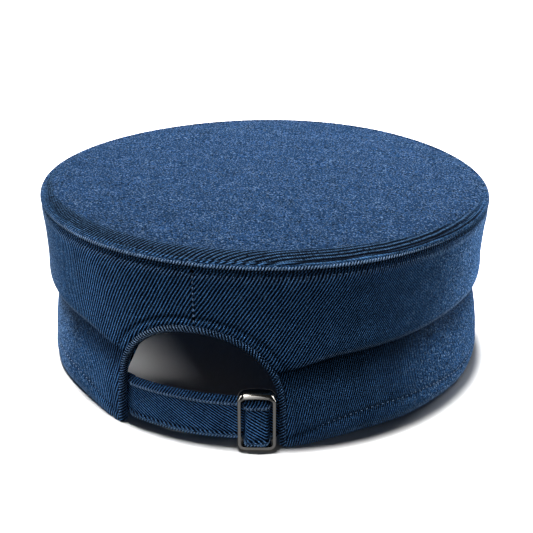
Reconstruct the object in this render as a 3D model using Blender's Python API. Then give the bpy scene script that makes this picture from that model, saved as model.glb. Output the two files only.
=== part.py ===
"""Baker boy cap in denim, lying on a table on the legs of its back arch and the tip of its peak.

Metres, +Z up. The peak points to -Y, the arch with its strap and buckle to +Y.
Each piece is first modelled with the hem level on z = 0 and the head's middle on the Z axis.
One empty then leans them all back together, to the pose in which the cap rests by itself.
"""
import math

import bmesh
import bpy
from mathutils import Matrix, Vector

# The hem and the rim are ovals, measured over the outside of the cloth.
HEM_WIDTH = 0.1814
HEM_LENGTH = 0.1954
RIM_WIDTH = 0.1844
RIM_LENGTH = 0.1880
# The rim's middle lies this far behind the hem's middle.
RIM_SET_BACK = 0.0010
# The front half is narrower, as on a head: share of the width lost at the very front.
HEM_TAPER_SHARE = 0.12
RIM_TAPER_SHARE = 0.06
TAPER_START = math.radians(75.0)
# Height from the hem to the top of the rim.
BACK_HEIGHT = 0.0731
FRONT_HEIGHT = 0.0597
# The hem sags between the legs and the peak.
HEM_SAG = 0.0024
SAG_START = math.radians(52.0)
SAG_FULL = math.radians(80.0)
SAG_FADE = math.radians(102.0)
SAG_END = math.radians(126.0)
# Beside the legs the hem is drawn in a little.
HEM_PINCH = 0.0012
PINCH_PLACE = math.radians(38.0)
PINCH_REACH = math.radians(16.0)

# Cloth pieces keep this clearance where they are sewn to each other.
SEAM_GAP = 0.0003
TOP_WALL = 0.0018
SIDE_WALL = 0.0022
BAND_WALL = 0.0020

# The top panel is flat in the middle and rolls down to the welt.
TOP_ROLL_WIDTH = 0.0090
TOP_ROLL_DROP = 0.0018

# The rim's welt is a rounded ridge that stands a little proud of the side.
WELT_HEIGHT = 0.0040
WELT_DEPTH = 0.0036
WELT_PROUD = 0.0002

# The side laps over the band's upper edge and ends in a fold.
BAND_HEIGHT = 0.0335
BAND_LAP = 0.0040
# The band's upper edge lies this deep behind the side's outer face.
FOLD_DEPTH = 0.0042
# The side's lower edge curls in by this much under the fold.
FOLD_ROLL = 0.0028
# The fold dips and gets shallow towards the arch.
FOLD_DIP = 0.0035
FOLD_DIP_REACH = math.radians(16.0)

# The arch at the back: straight legs, then a squarish round.
ARCH_HALF_WIDTH = 0.0302
ARCH_HEIGHT = 0.0448
ARCH_LEG = 0.0140
ARCH_SQUARENESS = 2.15
# The legs spread outwards at the hem.
LEG_FLARE = 0.0010
LEG_FLARE_REACH = math.radians(12.0)
BINDING_WIDTH = 0.0030
BINDING_DEPTH = 0.0034

# The strap runs across the arch and is tucked behind both legs.
STRAP_HEIGHT = 0.0178
STRAP_THICKNESS = 0.0024
STRAP_LIFT = 0.0015
STRAP_SET_IN = 0.0012
STRAP_TUCK = 0.0100
# It dives behind the leg from this share of the arch's half width on.
STRAP_DIVE_SHARE = 0.76
# Over this length on each side of the buckle its lower edge is drawn up into the window.
STRAP_GATHER = 0.0040

# The buckle is a loop of wide flat metal round the strap.
BUCKLE_OFFSET = 0.0224
BUCKLE_WIDTH = 0.0141
BUCKLE_HEIGHT = 0.0230
BUCKLE_DEPTH = 0.0046
BUCKLE_METAL = 0.0013
BUCKLE_CORNER = 0.0022
BUCKLE_CROWN = 0.0004
BUCKLE_LIFT = 0.0005
BUCKLE_BAR_WIDTH = 0.0020
BUCKLE_BAR_DEPTH = 0.0010

# The peak is a stiff crescent under the front of the hem.
PEAK_SPREAD = math.radians(52.0)
PEAK_REACH = 0.0480
PEAK_END_REACH = 0.0015
PEAK_THICKNESS = 0.0024
PEAK_SLOPE = math.radians(8.8)
PEAK_CAMBER_SHARE = 0.5
PEAK_POINT = 1.2

# Facets of the lofted shapes.
RIM_FACETS = 72
BAND_FACETS = 76
SIDE_FACETS = 64
ARCH_FACETS = 20
LEG_FACETS = 3
STRAP_FACETS = 24
BULGE_FACETS = 12
PEAK_FACETS = 30
CORD_SIDES = 8
CORNER_FACETS = 4
SMOOTH_ANGLE = math.radians(40.0)
# Step along the oval from which the buckle's direction is taken.
SMALL_TURN = math.radians(0.5)

# Outer face of the crown's side, from the fold up.
# height: share of the side's height. tuck: share of FOLD_ROLL that it curls in.
SIDE_ROWS = (
    # height, tuck
    (0.00, 1.00),
    (0.02, 0.58),
    (0.07, 0.32),
    (0.16, 0.24),
    (0.34, 0.32),
    (0.70, 0.18),
    (1.00, 0.00),
)

# Inner face of the crown's side, from the rim down.
# height: share of the side's height. thick: share of the thickening at the fold.
SIDE_INNER_ROWS = (
    # height, thick
    (1.00, 0.00),
    (0.60, 0.30),
    (0.28, 0.45),
    (0.16, 1.00),
    (0.00, 1.00),
)

# Outer face of the band, from the hem up to the fold.
# height: share of the way up. set_in: share of the step behind the side's fold.
BAND_ROWS = (
    # height, set_in
    (0.00, 0.00),
    (0.20, 0.05),
    (0.40, 0.22),
    (0.58, 0.46),
    (0.74, 0.70),
    (0.87, 0.90),
    (1.00, 1.00),
)

# Outer face of the strap, from its lower edge up, with a rolled edge on each side.
# height: share of STRAP_HEIGHT. thick: share of STRAP_THICKNESS.
STRAP_ROWS = (
    # height, thick
    (0.00, 0.50),
    (0.05, 1.00),
    (0.15, 1.00),
    (0.21, 0.75),
    (0.79, 0.75),
    (0.85, 1.00),
    (0.95, 1.00),
    (1.00, 0.50),
)

# Upper face of the peak from the hem out. reach: share of the reach there.
PEAK_ROWS = (0.0, 0.2, 0.45, 0.7, 0.9, 1.0)

FINISHES = {
    # name: (sRGB colour, roughness, metallic)
    "denim_top": ((0.184, 0.329, 0.525), 0.92, 0.0),
    "denim_side": ((0.129, 0.247, 0.424), 0.92, 0.0),
    "denim_trim": ((0.157, 0.286, 0.478), 0.90, 0.0),
    "buckle_metal": ((0.42, 0.40, 0.38), 0.28, 1.0),
}


def mix(first, second, share):
    """Value at a share of the way from the first to the second."""
    return first + (second - first) * share


def ease(share):
    """Smooth step from 0 to 1, flat at both ends."""
    share = min(max(share, 0.0), 1.0)
    return share * share * (3.0 - 2.0 * share)


def crown_height(lengthwise):
    """Height of the rim's top; lengthwise runs from -1 at the front to 1 at the back."""
    return mix(FRONT_HEIGHT, BACK_HEIGHT, 0.5 + 0.5 * lengthwise)


def half_width(height):
    """Half the cap's outer width at a height over the hem."""
    rise = height / mix(FRONT_HEIGHT, BACK_HEIGHT, 0.5)
    return mix(HEM_WIDTH, RIM_WIDTH, rise) / 2.0


def front_taper(angle, rise):
    """Share of the width that is left at an angle, at a share of the height."""
    toward_front = ease((from_back(angle) - TAPER_START) / (math.pi - TAPER_START))
    return 1.0 - mix(HEM_TAPER_SHARE, RIM_TAPER_SHARE, rise) * toward_front


def wall_point(angle, height, out):
    """Point on the wall: angle from the centre back towards +X, out from the plain outer face."""
    rise = height / mix(FRONT_HEIGHT, BACK_HEIGHT, 0.5)
    half_length = mix(HEM_LENGTH, RIM_LENGTH, rise) / 2.0
    set_back = RIM_SET_BACK * min(max(height / BAND_HEIGHT, 0.0), 1.0)
    x = (half_width(height) + out) * math.sin(angle) * front_taper(angle, rise)
    return Vector((x, set_back + (half_length + out) * math.cos(angle), height))


def wall_angle(x, height):
    """Angle from the centre back at which the wall stands at a given x."""
    return math.asin(x / half_width(height))


def from_back(angle):
    """Unsigned angle from the centre back, at most half a turn."""
    return abs((angle + math.pi) % (2.0 * math.pi) - math.pi)


def arch_half_width(height, margin):
    """Half the arch's width at a height, for an outline grown by the margin."""
    round_height = ARCH_HEIGHT - ARCH_LEG + margin
    share = min(max((height - ARCH_LEG) / round_height, 0.0), 1.0)
    return (ARCH_HALF_WIDTH + margin) * (1.0 - share ** ARCH_SQUARENESS) ** (1.0 / ARCH_SQUARENESS)


def arch_round(margin):
    """Points (x, height) of the arch's round part, from -X over the top to +X."""
    points = []
    for step in range(ARCH_FACETS + 1):
        turn = math.pi * step / ARCH_FACETS
        across = -math.cos(turn)
        power = 2.0 / ARCH_SQUARENESS
        x = (ARCH_HALF_WIDTH + margin) * math.copysign(abs(across) ** power, across)
        rise = max(math.sin(turn), 0.0) ** power
        points.append((x, ARCH_LEG + (ARCH_HEIGHT - ARCH_LEG + margin) * rise))
    return points


def cloth_margin():
    """How far the walls' cut edges stay outside the arch opening, behind the binding."""
    return BINDING_WIDTH + SEAM_GAP


def arch_edge_angle(height):
    """Angle from the centre back of the walls' cut edge at a height."""
    return wall_angle(arch_half_width(height, cloth_margin()), height)


def hem_shape(angle, height):
    """Outward shift of the walls near the hem: out at the legs, in just beside them."""
    beside = from_back(angle) - arch_edge_angle(0.0)
    flare = LEG_FLARE * (1.0 - ease(beside / LEG_FLARE_REACH))
    pinch = HEM_PINCH * (1.0 - ease(abs(from_back(angle) - PINCH_PLACE) / PINCH_REACH))
    return (flare - pinch) * (1.0 - ease(height / BAND_HEIGHT))


def hem_height(angle):
    """Height of the hem, which sags below z = 0 at the sides."""
    turn = from_back(angle)
    start = ease((turn - SAG_START) / (SAG_FULL - SAG_START))
    end = ease((turn - SAG_FADE) / (SAG_END - SAG_FADE))
    return -HEM_SAG * start * (1.0 - end)


def away_from_arch(angle):
    """0 beside the arch, growing to 1 where the fold has its full size."""
    return ease((from_back(angle) - arch_edge_angle(BAND_HEIGHT)) / FOLD_DIP_REACH)


def fold_height(angle):
    """Height of the side's lower edge, which dips towards the arch."""
    return BAND_HEIGHT - FOLD_DIP * (1.0 - away_from_arch(angle))


def fold_depth(angle):
    """How far the band's upper edge lies inside the side's outer face."""
    return mix(SIDE_WALL + SEAM_GAP, FOLD_DEPTH, away_from_arch(angle))


def band_out(angle, height):
    """Outward place of the band's outer face at a place, read from BAND_ROWS."""
    share = min(max(height / BAND_HEIGHT, 0.0), 1.0)
    for (low, low_in), (high, high_in) in zip(BAND_ROWS, BAND_ROWS[1:]):
        if share <= high:
            set_in = mix(low_in, high_in, (share - low) / (high - low))
            return hem_shape(angle, height) - fold_depth(angle) * set_in
    return -fold_depth(angle)


def loft(bm, loops, closed):
    """Join equal loops of points with quads; the two end loops of an open loft are returned."""
    rows = [[bm.verts.new(point) for point in loop] for loop in loops]
    pairs = list(zip(rows, rows[1:]))
    if closed:
        pairs.append((rows[-1], rows[0]))
    for first, second in pairs:
        for index in range(len(first)):
            after = (index + 1) % len(first)
            bm.faces.new((first[index], first[after], second[after], second[index]))
    return [rows[0], rows[-1]]


def close_with_quads(bm, ends):
    """Close end loops that run out along one face and back along the other."""
    for row in ends:
        for index in range(len(row) // 2 - 1):
            bm.faces.new((row[index], row[index + 1], row[-2 - index], row[-1 - index]))


def finish_material(finish):
    """The named finish as a Principled material, made once."""
    material = bpy.data.materials.get(finish)
    if material:
        return material
    colour, roughness, metallic = FINISHES[finish]
    material = bpy.data.materials.new(finish)
    material.use_nodes = True
    shader = material.node_tree.nodes["Principled BSDF"]
    linear = [((value + 0.055) / 1.055) ** 2.4 for value in colour]
    shader.inputs["Base Color"].default_value = (*linear, 1.0)
    shader.inputs["Roughness"].default_value = roughness
    shader.inputs["Metallic"].default_value = metallic
    return material


def add_piece(name, bm, finish, stand):
    """Turn a bmesh into a named, smooth-shaded object on the stand empty."""
    bmesh.ops.recalc_face_normals(bm, faces=bm.faces)
    mesh = bpy.data.meshes.new(name)
    bm.to_mesh(mesh)
    bm.free()
    mesh.materials.append(finish_material(finish))
    mesh.shade_smooth()
    mesh.set_sharp_from_angle(angle=SMOOTH_ANGLE)
    piece = bpy.data.objects.new(name, mesh)
    piece.parent = stand
    bpy.context.scene.collection.objects.link(piece)
    return piece


def crown_top(stand):
    """Top panel: a flat oval whose edge rolls down to the welt."""
    edge_out = WELT_PROUD - WELT_DEPTH - SEAM_GAP
    half_long = RIM_LENGTH / 2.0 + edge_out
    roll_start = 1.0 - TOP_ROLL_WIDTH / half_long
    rings = []
    for side, thickness in (("upper", 0.0), ("lower", TOP_WALL)):
        face_rings = []
        for share in (roll_start / 2.0, roll_start, (1.0 + roll_start) / 2.0, 1.0):
            rolled = max(share - roll_start, 0.0) / (1.0 - roll_start)
            sunk = TOP_ROLL_DROP * rolled ** 2 + thickness
            ring = []
            for step in range(RIM_FACETS):
                angle = 2.0 * math.pi * step / RIM_FACETS
                beside_welt = crown_height(math.cos(angle)) - WELT_HEIGHT / 2.0
                edge = wall_point(angle, beside_welt, edge_out)
                backwards = share * (edge.y - RIM_SET_BACK)
                height = crown_height(backwards / half_long) - sunk
                ring.append(Vector((share * edge.x, RIM_SET_BACK + backwards, height)))
            face_rings.append(ring)
        if side == "lower":
            face_rings.reverse()
        rings.extend(face_rings)
    bm = bmesh.new()
    ends = loft(bm, rings, closed=False)
    bmesh.ops.poke(bm, faces=[bm.faces.new(row) for row in ends])
    return add_piece("crown_top", bm, "denim_top", stand)


def rim_welt(stand):
    """Rounded ridge round the rim, between the top panel and the side."""
    loops = []
    for step in range(RIM_FACETS):
        angle = 2.0 * math.pi * step / RIM_FACETS
        middle_height = crown_height(math.cos(angle)) - WELT_HEIGHT / 2.0
        middle_out = WELT_PROUD - WELT_DEPTH / 2.0
        loop = []
        for side in range(CORD_SIDES):
            turn = 2.0 * math.pi * (side + 0.5) / CORD_SIDES
            reach = 1.0 / math.cos(math.pi / CORD_SIDES)
            out = middle_out + reach * WELT_DEPTH / 2.0 * math.cos(turn)
            height = middle_height + reach * WELT_HEIGHT / 2.0 * math.sin(turn)
            loop.append(wall_point(angle, height, out))
        loops.append(loop)
    bm = bmesh.new()
    loft(bm, loops, closed=True)
    return add_piece("rim_welt", bm, "denim_trim", stand)


def side_columns():
    """Angle and lower height of each column of the side, closely spaced over the arch."""
    columns = []
    corner = arch_edge_angle(BAND_HEIGHT - FOLD_DIP)
    for x, height in arch_round(cloth_margin()):
        angle = wall_angle(x, height)
        if abs(angle) < corner and height > fold_height(angle):
            columns.append((angle, height))
    for step in range(SIDE_FACETS + 1):
        angle = mix(corner, 2.0 * math.pi - corner, step / SIDE_FACETS)
        columns.append((angle, fold_height(angle)))
    return columns


def crown_side(stand):
    """Upper wall: its lower edge laps over the band, and is arched over the opening."""
    loops = []
    for angle, low in side_columns():
        high = crown_height(math.cos(angle)) - WELT_HEIGHT - SEAM_GAP
        roll = FOLD_ROLL * mix(0.4, 1.0, away_from_arch(angle))
        lap = fold_depth(angle) - SEAM_GAP - SIDE_WALL
        loop = []
        for share, tuck in SIDE_ROWS:
            loop.append(wall_point(angle, mix(low, high, share), -roll * tuck))
        for share, thick in SIDE_INNER_ROWS:
            loop.append(wall_point(angle, mix(low, high, share), -SIDE_WALL - lap * thick))
        loops.append(loop)
    bm = bmesh.new()
    loft(bm, loops, closed=True)
    return add_piece("crown_side", bm, "denim_side", stand)


def band(stand):
    """Lower band: open at the arch, set in under the side's fold, flared at the hem."""
    outer_rows = [share for share, _ in BAND_ROWS] + [1.0 + BAND_LAP / BAND_HEIGHT]
    inner_rows = outer_rows[::-1]
    loops = []
    for step in range(BAND_FACETS + 1):
        loop = []
        for rows, depth in ((outer_rows, 0.0), (inner_rows, BAND_WALL)):
            for share in rows:
                edge = arch_edge_angle(BAND_HEIGHT * share)
                angle = mix(edge, 2.0 * math.pi - edge, step / BAND_FACETS)
                height = mix(hem_height(angle), BAND_HEIGHT, share)
                loop.append(wall_point(angle, height, band_out(angle, height) - depth))
        loops.append(loop)
    bm = bmesh.new()
    close_with_quads(bm, loft(bm, loops, closed=False))
    return add_piece("band", bm, "denim_side", stand)


def binding_path():
    """Points (x, height) along the middle of the binding, from one hem to the other."""
    margin = BINDING_WIDTH / 2.0
    rounded = arch_round(margin)
    leg = [(rounded[-1][0], ARCH_LEG * step / LEG_FACETS) for step in range(LEG_FACETS)]
    mirrored = [(-x, height) for x, height in leg]
    return mirrored + rounded + leg[::-1]


def arch_binding(stand):
    """Corded binding along the arch's edge, from hem to hem."""
    path = []
    for x, height in binding_path():
        angle = wall_angle(x, height)
        onto_side = ease(height / BAND_HEIGHT)
        out = mix(band_out(angle, height) - BAND_WALL / 2.0, -SIDE_WALL / 2.0, onto_side)
        path.append(wall_point(angle, height, out))
    loops = []
    for index, middle in enumerate(path):
        before = path[max(index - 1, 0)]
        after = path[min(index + 1, len(path) - 1)]
        along = (after - before).normalized()
        if index in (0, len(path) - 1):
            along = Vector((0.0, 0.0, math.copysign(1.0, along.z)))
        outward = Vector((middle.x, middle.y, 0.0))
        across = along.cross(outward).normalized()
        outward = across.cross(along)
        loop = []
        for side in range(CORD_SIDES):
            turn = 2.0 * math.pi * (side + 0.5) / CORD_SIDES
            loop.append(middle + across * (BINDING_WIDTH / 2.0 * math.cos(turn))
                        + outward * (BINDING_DEPTH / 2.0 * math.sin(turn)))
        loops.append(loop)
    bm = bmesh.new()
    close_with_quads(bm, loft(bm, loops, closed=False))
    return add_piece("arch_binding", bm, "denim_trim", stand)


def buckle_angle():
    """Angle from the centre back of the buckle's middle, on the -X side."""
    return -wall_angle(BUCKLE_OFFSET, 0.0)


def buckle_back():
    """Outward place of the buckle's back edge, just clear of the strap."""
    return SEAM_GAP - STRAP_SET_IN


def bulge_half_width():
    """Half the width of the strap's bulge, inside the buckle's window."""
    return BUCKLE_WIDTH / 2.0 - BUCKLE_METAL - 2.0 * SEAM_GAP


def from_buckle(angle):
    """Distance along the strap from the buckle's middle."""
    return abs(angle - buckle_angle()) * HEM_LENGTH / 2.0


def strap_bottom(angle):
    """Height of the strap's lower edge, which lies above the buckle's lower rail."""
    in_window = BUCKLE_LIFT + BUCKLE_METAL + 2.0 * SEAM_GAP
    away = ease((from_buckle(angle) - bulge_half_width()) / STRAP_GATHER)
    return mix(in_window, STRAP_LIFT, away)


def strap_out(angle, height):
    """Outward place of the strap's outer face: dived in behind the legs, bulging in the buckle."""
    tuck_in = (BINDING_DEPTH + BAND_WALL) / 2.0 + 2.0 * SEAM_GAP
    behind_leg = band_out(angle, height) - tuck_in
    across = from_back(angle) / wall_angle(ARCH_HALF_WIDTH, 0.0)
    dive = ease((across - STRAP_DIVE_SHARE) / (1.0 - STRAP_DIVE_SHARE))
    plain = mix(-STRAP_SET_IN, behind_leg, dive)
    flat = BUCKLE_BAR_WIDTH / 2.0 + SEAM_GAP
    share = (from_buckle(angle) - flat) / (bulge_half_width() - flat)
    share = min(max(share, 0.0), 1.0)
    crest = buckle_back() + BUCKLE_BAR_DEPTH + 2.0 * SEAM_GAP + STRAP_THICKNESS
    return mix(plain, crest, 0.5 + 0.5 * math.cos(math.pi * share))


def strap_angles():
    """Angles of the strap's sections, closer together over the bulge."""
    end = wall_angle(ARCH_HALF_WIDTH + STRAP_TUCK, 0.0)
    reach = bulge_half_width() / (HEM_LENGTH / 2.0)
    middle = buckle_angle()
    angles = [mix(middle - reach, middle + reach, step / BULGE_FACETS)
              for step in range(BULGE_FACETS + 1)]
    spacing = 2.0 * end / STRAP_FACETS
    for step in range(STRAP_FACETS + 1):
        angle = -end + spacing * step
        if abs(angle - middle) > reach + spacing / 3.0:
            angles.append(angle)
    return sorted(angles)


def back_strap(stand):
    """Strap with rolled edges, through the buckle and behind the arch's legs."""
    inner_rows = [(share, 0.0) for share, _ in reversed(STRAP_ROWS)]
    loops = []
    for angle in strap_angles():
        loop = []
        for share, thick in list(STRAP_ROWS) + inner_rows:
            height = mix(strap_bottom(angle), STRAP_LIFT + STRAP_HEIGHT, share)
            out = strap_out(angle, height) - STRAP_THICKNESS * (1.0 - thick)
            loop.append(wall_point(angle, height, out))
        loops.append(loop)
    bm = bmesh.new()
    close_with_quads(bm, loft(bm, loops, closed=False))
    return add_piece("back_strap", bm, "denim_trim", stand)


def rounded_rectangle(width, height, radius):
    """Points (x, z) round a rectangle with round corners, centred on the origin."""
    points = []
    for corner, (sign_x, sign_z) in enumerate(((1, 1), (-1, 1), (-1, -1), (1, -1))):
        middle_x = sign_x * (width / 2.0 - radius)
        middle_z = sign_z * (height / 2.0 - radius)
        for step in range(CORNER_FACETS + 1):
            turn = math.pi / 2.0 * (corner + step / CORNER_FACETS)
            points.append((middle_x + radius * math.cos(turn), middle_z + radius * math.sin(turn)))
    return points


def buckle(stand):
    """Rectangular slide: a loop of crowned flat metal with a middle bar behind the strap."""
    outer = rounded_rectangle(BUCKLE_WIDTH, BUCKLE_HEIGHT, BUCKLE_CORNER)
    edge = rounded_rectangle(BUCKLE_WIDTH - 2.0 * BUCKLE_CROWN, BUCKLE_HEIGHT - 2.0 * BUCKLE_CROWN,
                             BUCKLE_CORNER - BUCKLE_CROWN)
    inner = rounded_rectangle(BUCKLE_WIDTH - 2.0 * BUCKLE_METAL, BUCKLE_HEIGHT - 2.0 * BUCKLE_METAL,
                              BUCKLE_CORNER - BUCKLE_METAL)
    loops = []
    for crowned, chamfer, window in zip(outer, edge, inner):
        loops.append([
            Vector((window[0], 0.0, window[1])),
            Vector((chamfer[0], 0.0, chamfer[1])),
            Vector((crowned[0], 0.3 * BUCKLE_DEPTH, crowned[1])),
            Vector((crowned[0], 0.7 * BUCKLE_DEPTH, crowned[1])),
            Vector((chamfer[0], BUCKLE_DEPTH, chamfer[1])),
            Vector((window[0], BUCKLE_DEPTH, window[1])),
        ])
    bm = bmesh.new()
    loft(bm, loops, closed=True)
    piece = add_piece("buckle", bm, "buckle_metal", stand)
    angle = buckle_angle()
    foot = wall_point(angle, BUCKLE_LIFT, buckle_back())
    head = wall_point(angle, BUCKLE_LIFT + BUCKLE_HEIGHT, buckle_back())
    beside = wall_point(angle + SMALL_TURN, BUCKLE_LIFT, buckle_back())
    up = (head - foot).normalized()
    outward = up.cross(beside - foot).normalized()
    piece.rotation_euler = Matrix((outward.cross(up), outward, up)).transposed().to_euler()
    piece.location = (foot + head) / 2.0
    bar = bmesh.new()
    bmesh.ops.create_cube(bar, size=1.0)
    bar_height = BUCKLE_HEIGHT - BUCKLE_METAL
    bmesh.ops.scale(bar, vec=(BUCKLE_BAR_WIDTH, BUCKLE_BAR_DEPTH, bar_height), verts=bar.verts)
    bmesh.ops.translate(bar, vec=(0.0, 0.55 * BUCKLE_BAR_DEPTH, 0.0), verts=bar.verts)
    add_to(piece, "buckle_bar", bar)
    return piece


def add_to(piece, name, bm):
    """Join a second shape to a piece by a union; the shape itself is left out."""
    mesh = bpy.data.meshes.new(name)
    bm.to_mesh(mesh)
    bm.free()
    extra = bpy.data.objects.new(name, mesh)
    extra.parent = piece
    extra.hide_render = True
    extra.display_type = "WIRE"
    bpy.context.scene.collection.objects.link(extra)
    union = piece.modifiers.new(name, "BOOLEAN")
    union.operation = "UNION"
    union.object = extra


def peak_point(angle, share, sunk):
    """Point on the peak: angle from the front, share of its reach there, sunk below its top."""
    across = angle / PEAK_SPREAD
    middle = max(math.cos(across * math.pi / 2.0), 0.0) ** PEAK_POINT
    reach = mix(PEAK_END_REACH, PEAK_REACH, middle)
    slope = math.tan(PEAK_SLOPE) * (1.0 + PEAK_CAMBER_SHARE * across ** 2)
    out = reach * share
    height = -SEAM_GAP - slope * out - sunk
    level = wall_point(angle + math.pi, 0.0, out)
    return Vector((level.x, level.y, height))


def peak(stand):
    """Crescent peak sewn under the front of the hem and sloping down to its tip."""
    loops = []
    for step in range(PEAK_FACETS + 1):
        angle = mix(-PEAK_SPREAD, PEAK_SPREAD, step / PEAK_FACETS)
        inner = wall_point(angle + math.pi, 0.0, -BAND_WALL)
        loop = [Vector((inner.x, inner.y, -SEAM_GAP))]
        loop += [peak_point(angle, share, 0.0) for share in PEAK_ROWS]
        loop += [peak_point(angle, share, PEAK_THICKNESS) for share in reversed(PEAK_ROWS)]
        loop.append(Vector((inner.x, inner.y, -SEAM_GAP - PEAK_THICKNESS)))
        loops.append(loop)
    bm = bmesh.new()
    close_with_quads(bm, loft(bm, loops, closed=False))
    return add_piece("peak", bm, "denim_side", stand)


def rest_tilt():
    """Angle by which the cap leans back when it stands on its legs and its peak."""
    leg = wall_point(arch_edge_angle(0.0), 0.0, LEG_FLARE)
    edge = [peak_point(mix(-PEAK_SPREAD, PEAK_SPREAD, step / PEAK_FACETS), 1.0, PEAK_THICKNESS)
            for step in range(PEAK_FACETS + 1)]
    return max(math.atan2(-point.z, leg.y - point.y) for point in edge)


def place_on_table(pieces, stand):
    """Lean the cap back and put the bottom middle of its box on the origin."""
    stand.rotation_euler.x = -rest_tilt()
    bpy.context.view_layer.update()
    corners = [piece.matrix_world @ vertex.co for piece in pieces for vertex in piece.data.vertices]
    stand.location = Vector((
        -(min(corner.x for corner in corners) + max(corner.x for corner in corners)) / 2.0,
        -(min(corner.y for corner in corners) + max(corner.y for corner in corners)) / 2.0,
        -min(corner.z for corner in corners),
    ))


def build():
    """Make every piece and set the cap down."""
    for old in list(bpy.data.objects):
        bpy.data.objects.remove(old, do_unlink=True)
    stand = bpy.data.objects.new("rest_pose", None)
    bpy.context.scene.collection.objects.link(stand)
    makers = (crown_top, rim_welt, crown_side, band, arch_binding, back_strap, buckle, peak)
    pieces = [maker(stand) for maker in makers]
    place_on_table(pieces, stand)


build()
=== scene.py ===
"""Looks of a baker boy cap in indigo denim, lying on a pale studio table.

Lengths are in metres unless a name says mm. In the cap's own frame the hem level is z = 0, the peak
points to -Y, the arch with its strap and buckle to +Y, and the wearer's left is +X.
"""

import logging
import math
from dataclasses import dataclass
from enum import Enum
from functools import cached_property, partial
from typing import Callable, ClassVar, NamedTuple, Sequence

import bmesh
import bpy
from mathutils import Matrix, Vector, noise

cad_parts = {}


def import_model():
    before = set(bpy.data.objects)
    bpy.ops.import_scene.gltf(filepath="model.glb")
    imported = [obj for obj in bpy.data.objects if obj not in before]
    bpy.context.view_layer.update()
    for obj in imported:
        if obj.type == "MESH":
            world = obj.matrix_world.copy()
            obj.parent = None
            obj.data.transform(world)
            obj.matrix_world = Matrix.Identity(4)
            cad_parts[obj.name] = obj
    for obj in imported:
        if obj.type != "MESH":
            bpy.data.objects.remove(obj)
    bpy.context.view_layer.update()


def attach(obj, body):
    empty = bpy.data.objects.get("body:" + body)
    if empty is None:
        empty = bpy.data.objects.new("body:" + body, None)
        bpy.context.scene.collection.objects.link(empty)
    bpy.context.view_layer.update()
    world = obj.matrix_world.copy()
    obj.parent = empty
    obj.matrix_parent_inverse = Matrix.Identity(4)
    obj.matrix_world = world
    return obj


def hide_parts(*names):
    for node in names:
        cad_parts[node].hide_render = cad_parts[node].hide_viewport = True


LOG = logging.getLogger("cap")
MM = 1000.0
SHARP_EDGE = math.radians(55.0)
MERGE_DISTANCE = 2e-6
Row = tuple[float, float]


def mix(first: float, second: float, share: float) -> float:
    """Value at a share of the way from the first to the second."""
    return first + (second - first) * share


def clamp(share: float) -> float:
    """Nearest value from 0 to 1."""
    return min(max(share, 0.0), 1.0)


def ease(share: float) -> float:
    """Smooth step from 0 to 1 that is flat at both ends."""
    share = clamp(share)
    return share * share * (3.0 - 2.0 * share)


def hump(distance: float, reach: float) -> float:
    """Smooth bump: 1 at distance 0, nothing at about twice the reach."""
    return math.exp(-(distance / reach) ** 2)


def ripple(point: Vector, size: Row) -> float:
    """Soft unevenness of worn cloth at a place, for its reach and its amount."""
    return size[1] * noise.noise(point / size[0])


def spline_value(rows: Sequence[Row], share: float) -> float:
    """Read a table of rising shares with a smooth curve through its rows.

    Args:
        rows: Pairs of share and value.
        share: Place to read.

    Returns:
        Value there, on a cubic curve that passes through every row.
    """
    share = min(max(share, rows[0][0]), rows[-1][0])
    last = len(rows) - 1
    index = next(index for index in range(last) if share <= rows[index + 1][0])
    start, end = rows[index], rows[index + 1]
    before, after = rows[max(index - 1, 0)], rows[min(index + 2, last)]
    span = end[0] - start[0]
    along = (share - start[0]) / span
    slope_in = (end[1] - before[1]) / (end[0] - before[0]) * span
    slope_out = (after[1] - start[1]) / (after[0] - start[0]) * span
    squared, cubed = along * along, along ** 3
    return (start[1] * (2 * cubed - 3 * squared + 1) + slope_in * (cubed - 2 * squared + along)
            + end[1] * (3 * squared - 2 * cubed) + slope_out * (cubed - squared))


def path_lengths(points: Sequence[Vector]) -> list[float]:
    """Measure along a path.

    Args:
        points: Path as given.

    Returns:
        Distance from the start to each point.
    """
    lengths = [0.0]
    for before, after in zip(points, points[1:]):
        lengths.append(lengths[-1] + (after - before).length)
    return lengths


def even_points(points: Sequence[Vector], count: int) -> list[Vector]:
    """Spread points evenly along a path.

    Args:
        points: Path as given.
        count: Number of equal steps.

    Returns:
        One point more than the number of steps.
    """
    lengths = path_lengths(points)
    spread, index = [], 0
    for step in range(count + 1):
        wanted = lengths[-1] * step / count
        while index < len(points) - 2 and lengths[index + 1] < wanted:
            index += 1
        share = (wanted - lengths[index]) / max(lengths[index + 1] - lengths[index], 1e-12)
        spread.append(points[index].lerp(points[index + 1], clamp(share)))
    return spread


def round_profile(knots: Sequence[Row], count: int) -> list[Row]:
    """Sample a closed smooth outline through knots, evenly by length.

    Args:
        knots: Corner points of the outline, in order.
        count: Number of samples.

    Returns:
        Points on the outline; the first isn't repeated.
    """
    dense: list[Vector] = []
    for index in range(len(knots)):
        before, start, end, after = (Vector(knots[(index + step) % len(knots)]) for step in (-1, 0, 1, 2))
        for step in range(12):
            t = step / 12.0
            dense.append(0.5 * (2.0 * start + (end - before) * t
                                + (2.0 * before - 5.0 * start + 4.0 * end - after) * t * t
                                + (3.0 * start - before - 3.0 * end + after) * t ** 3))
    return [(point.x, point.y) for point in even_points(dense + dense[:1], count)[:-1]]


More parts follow.
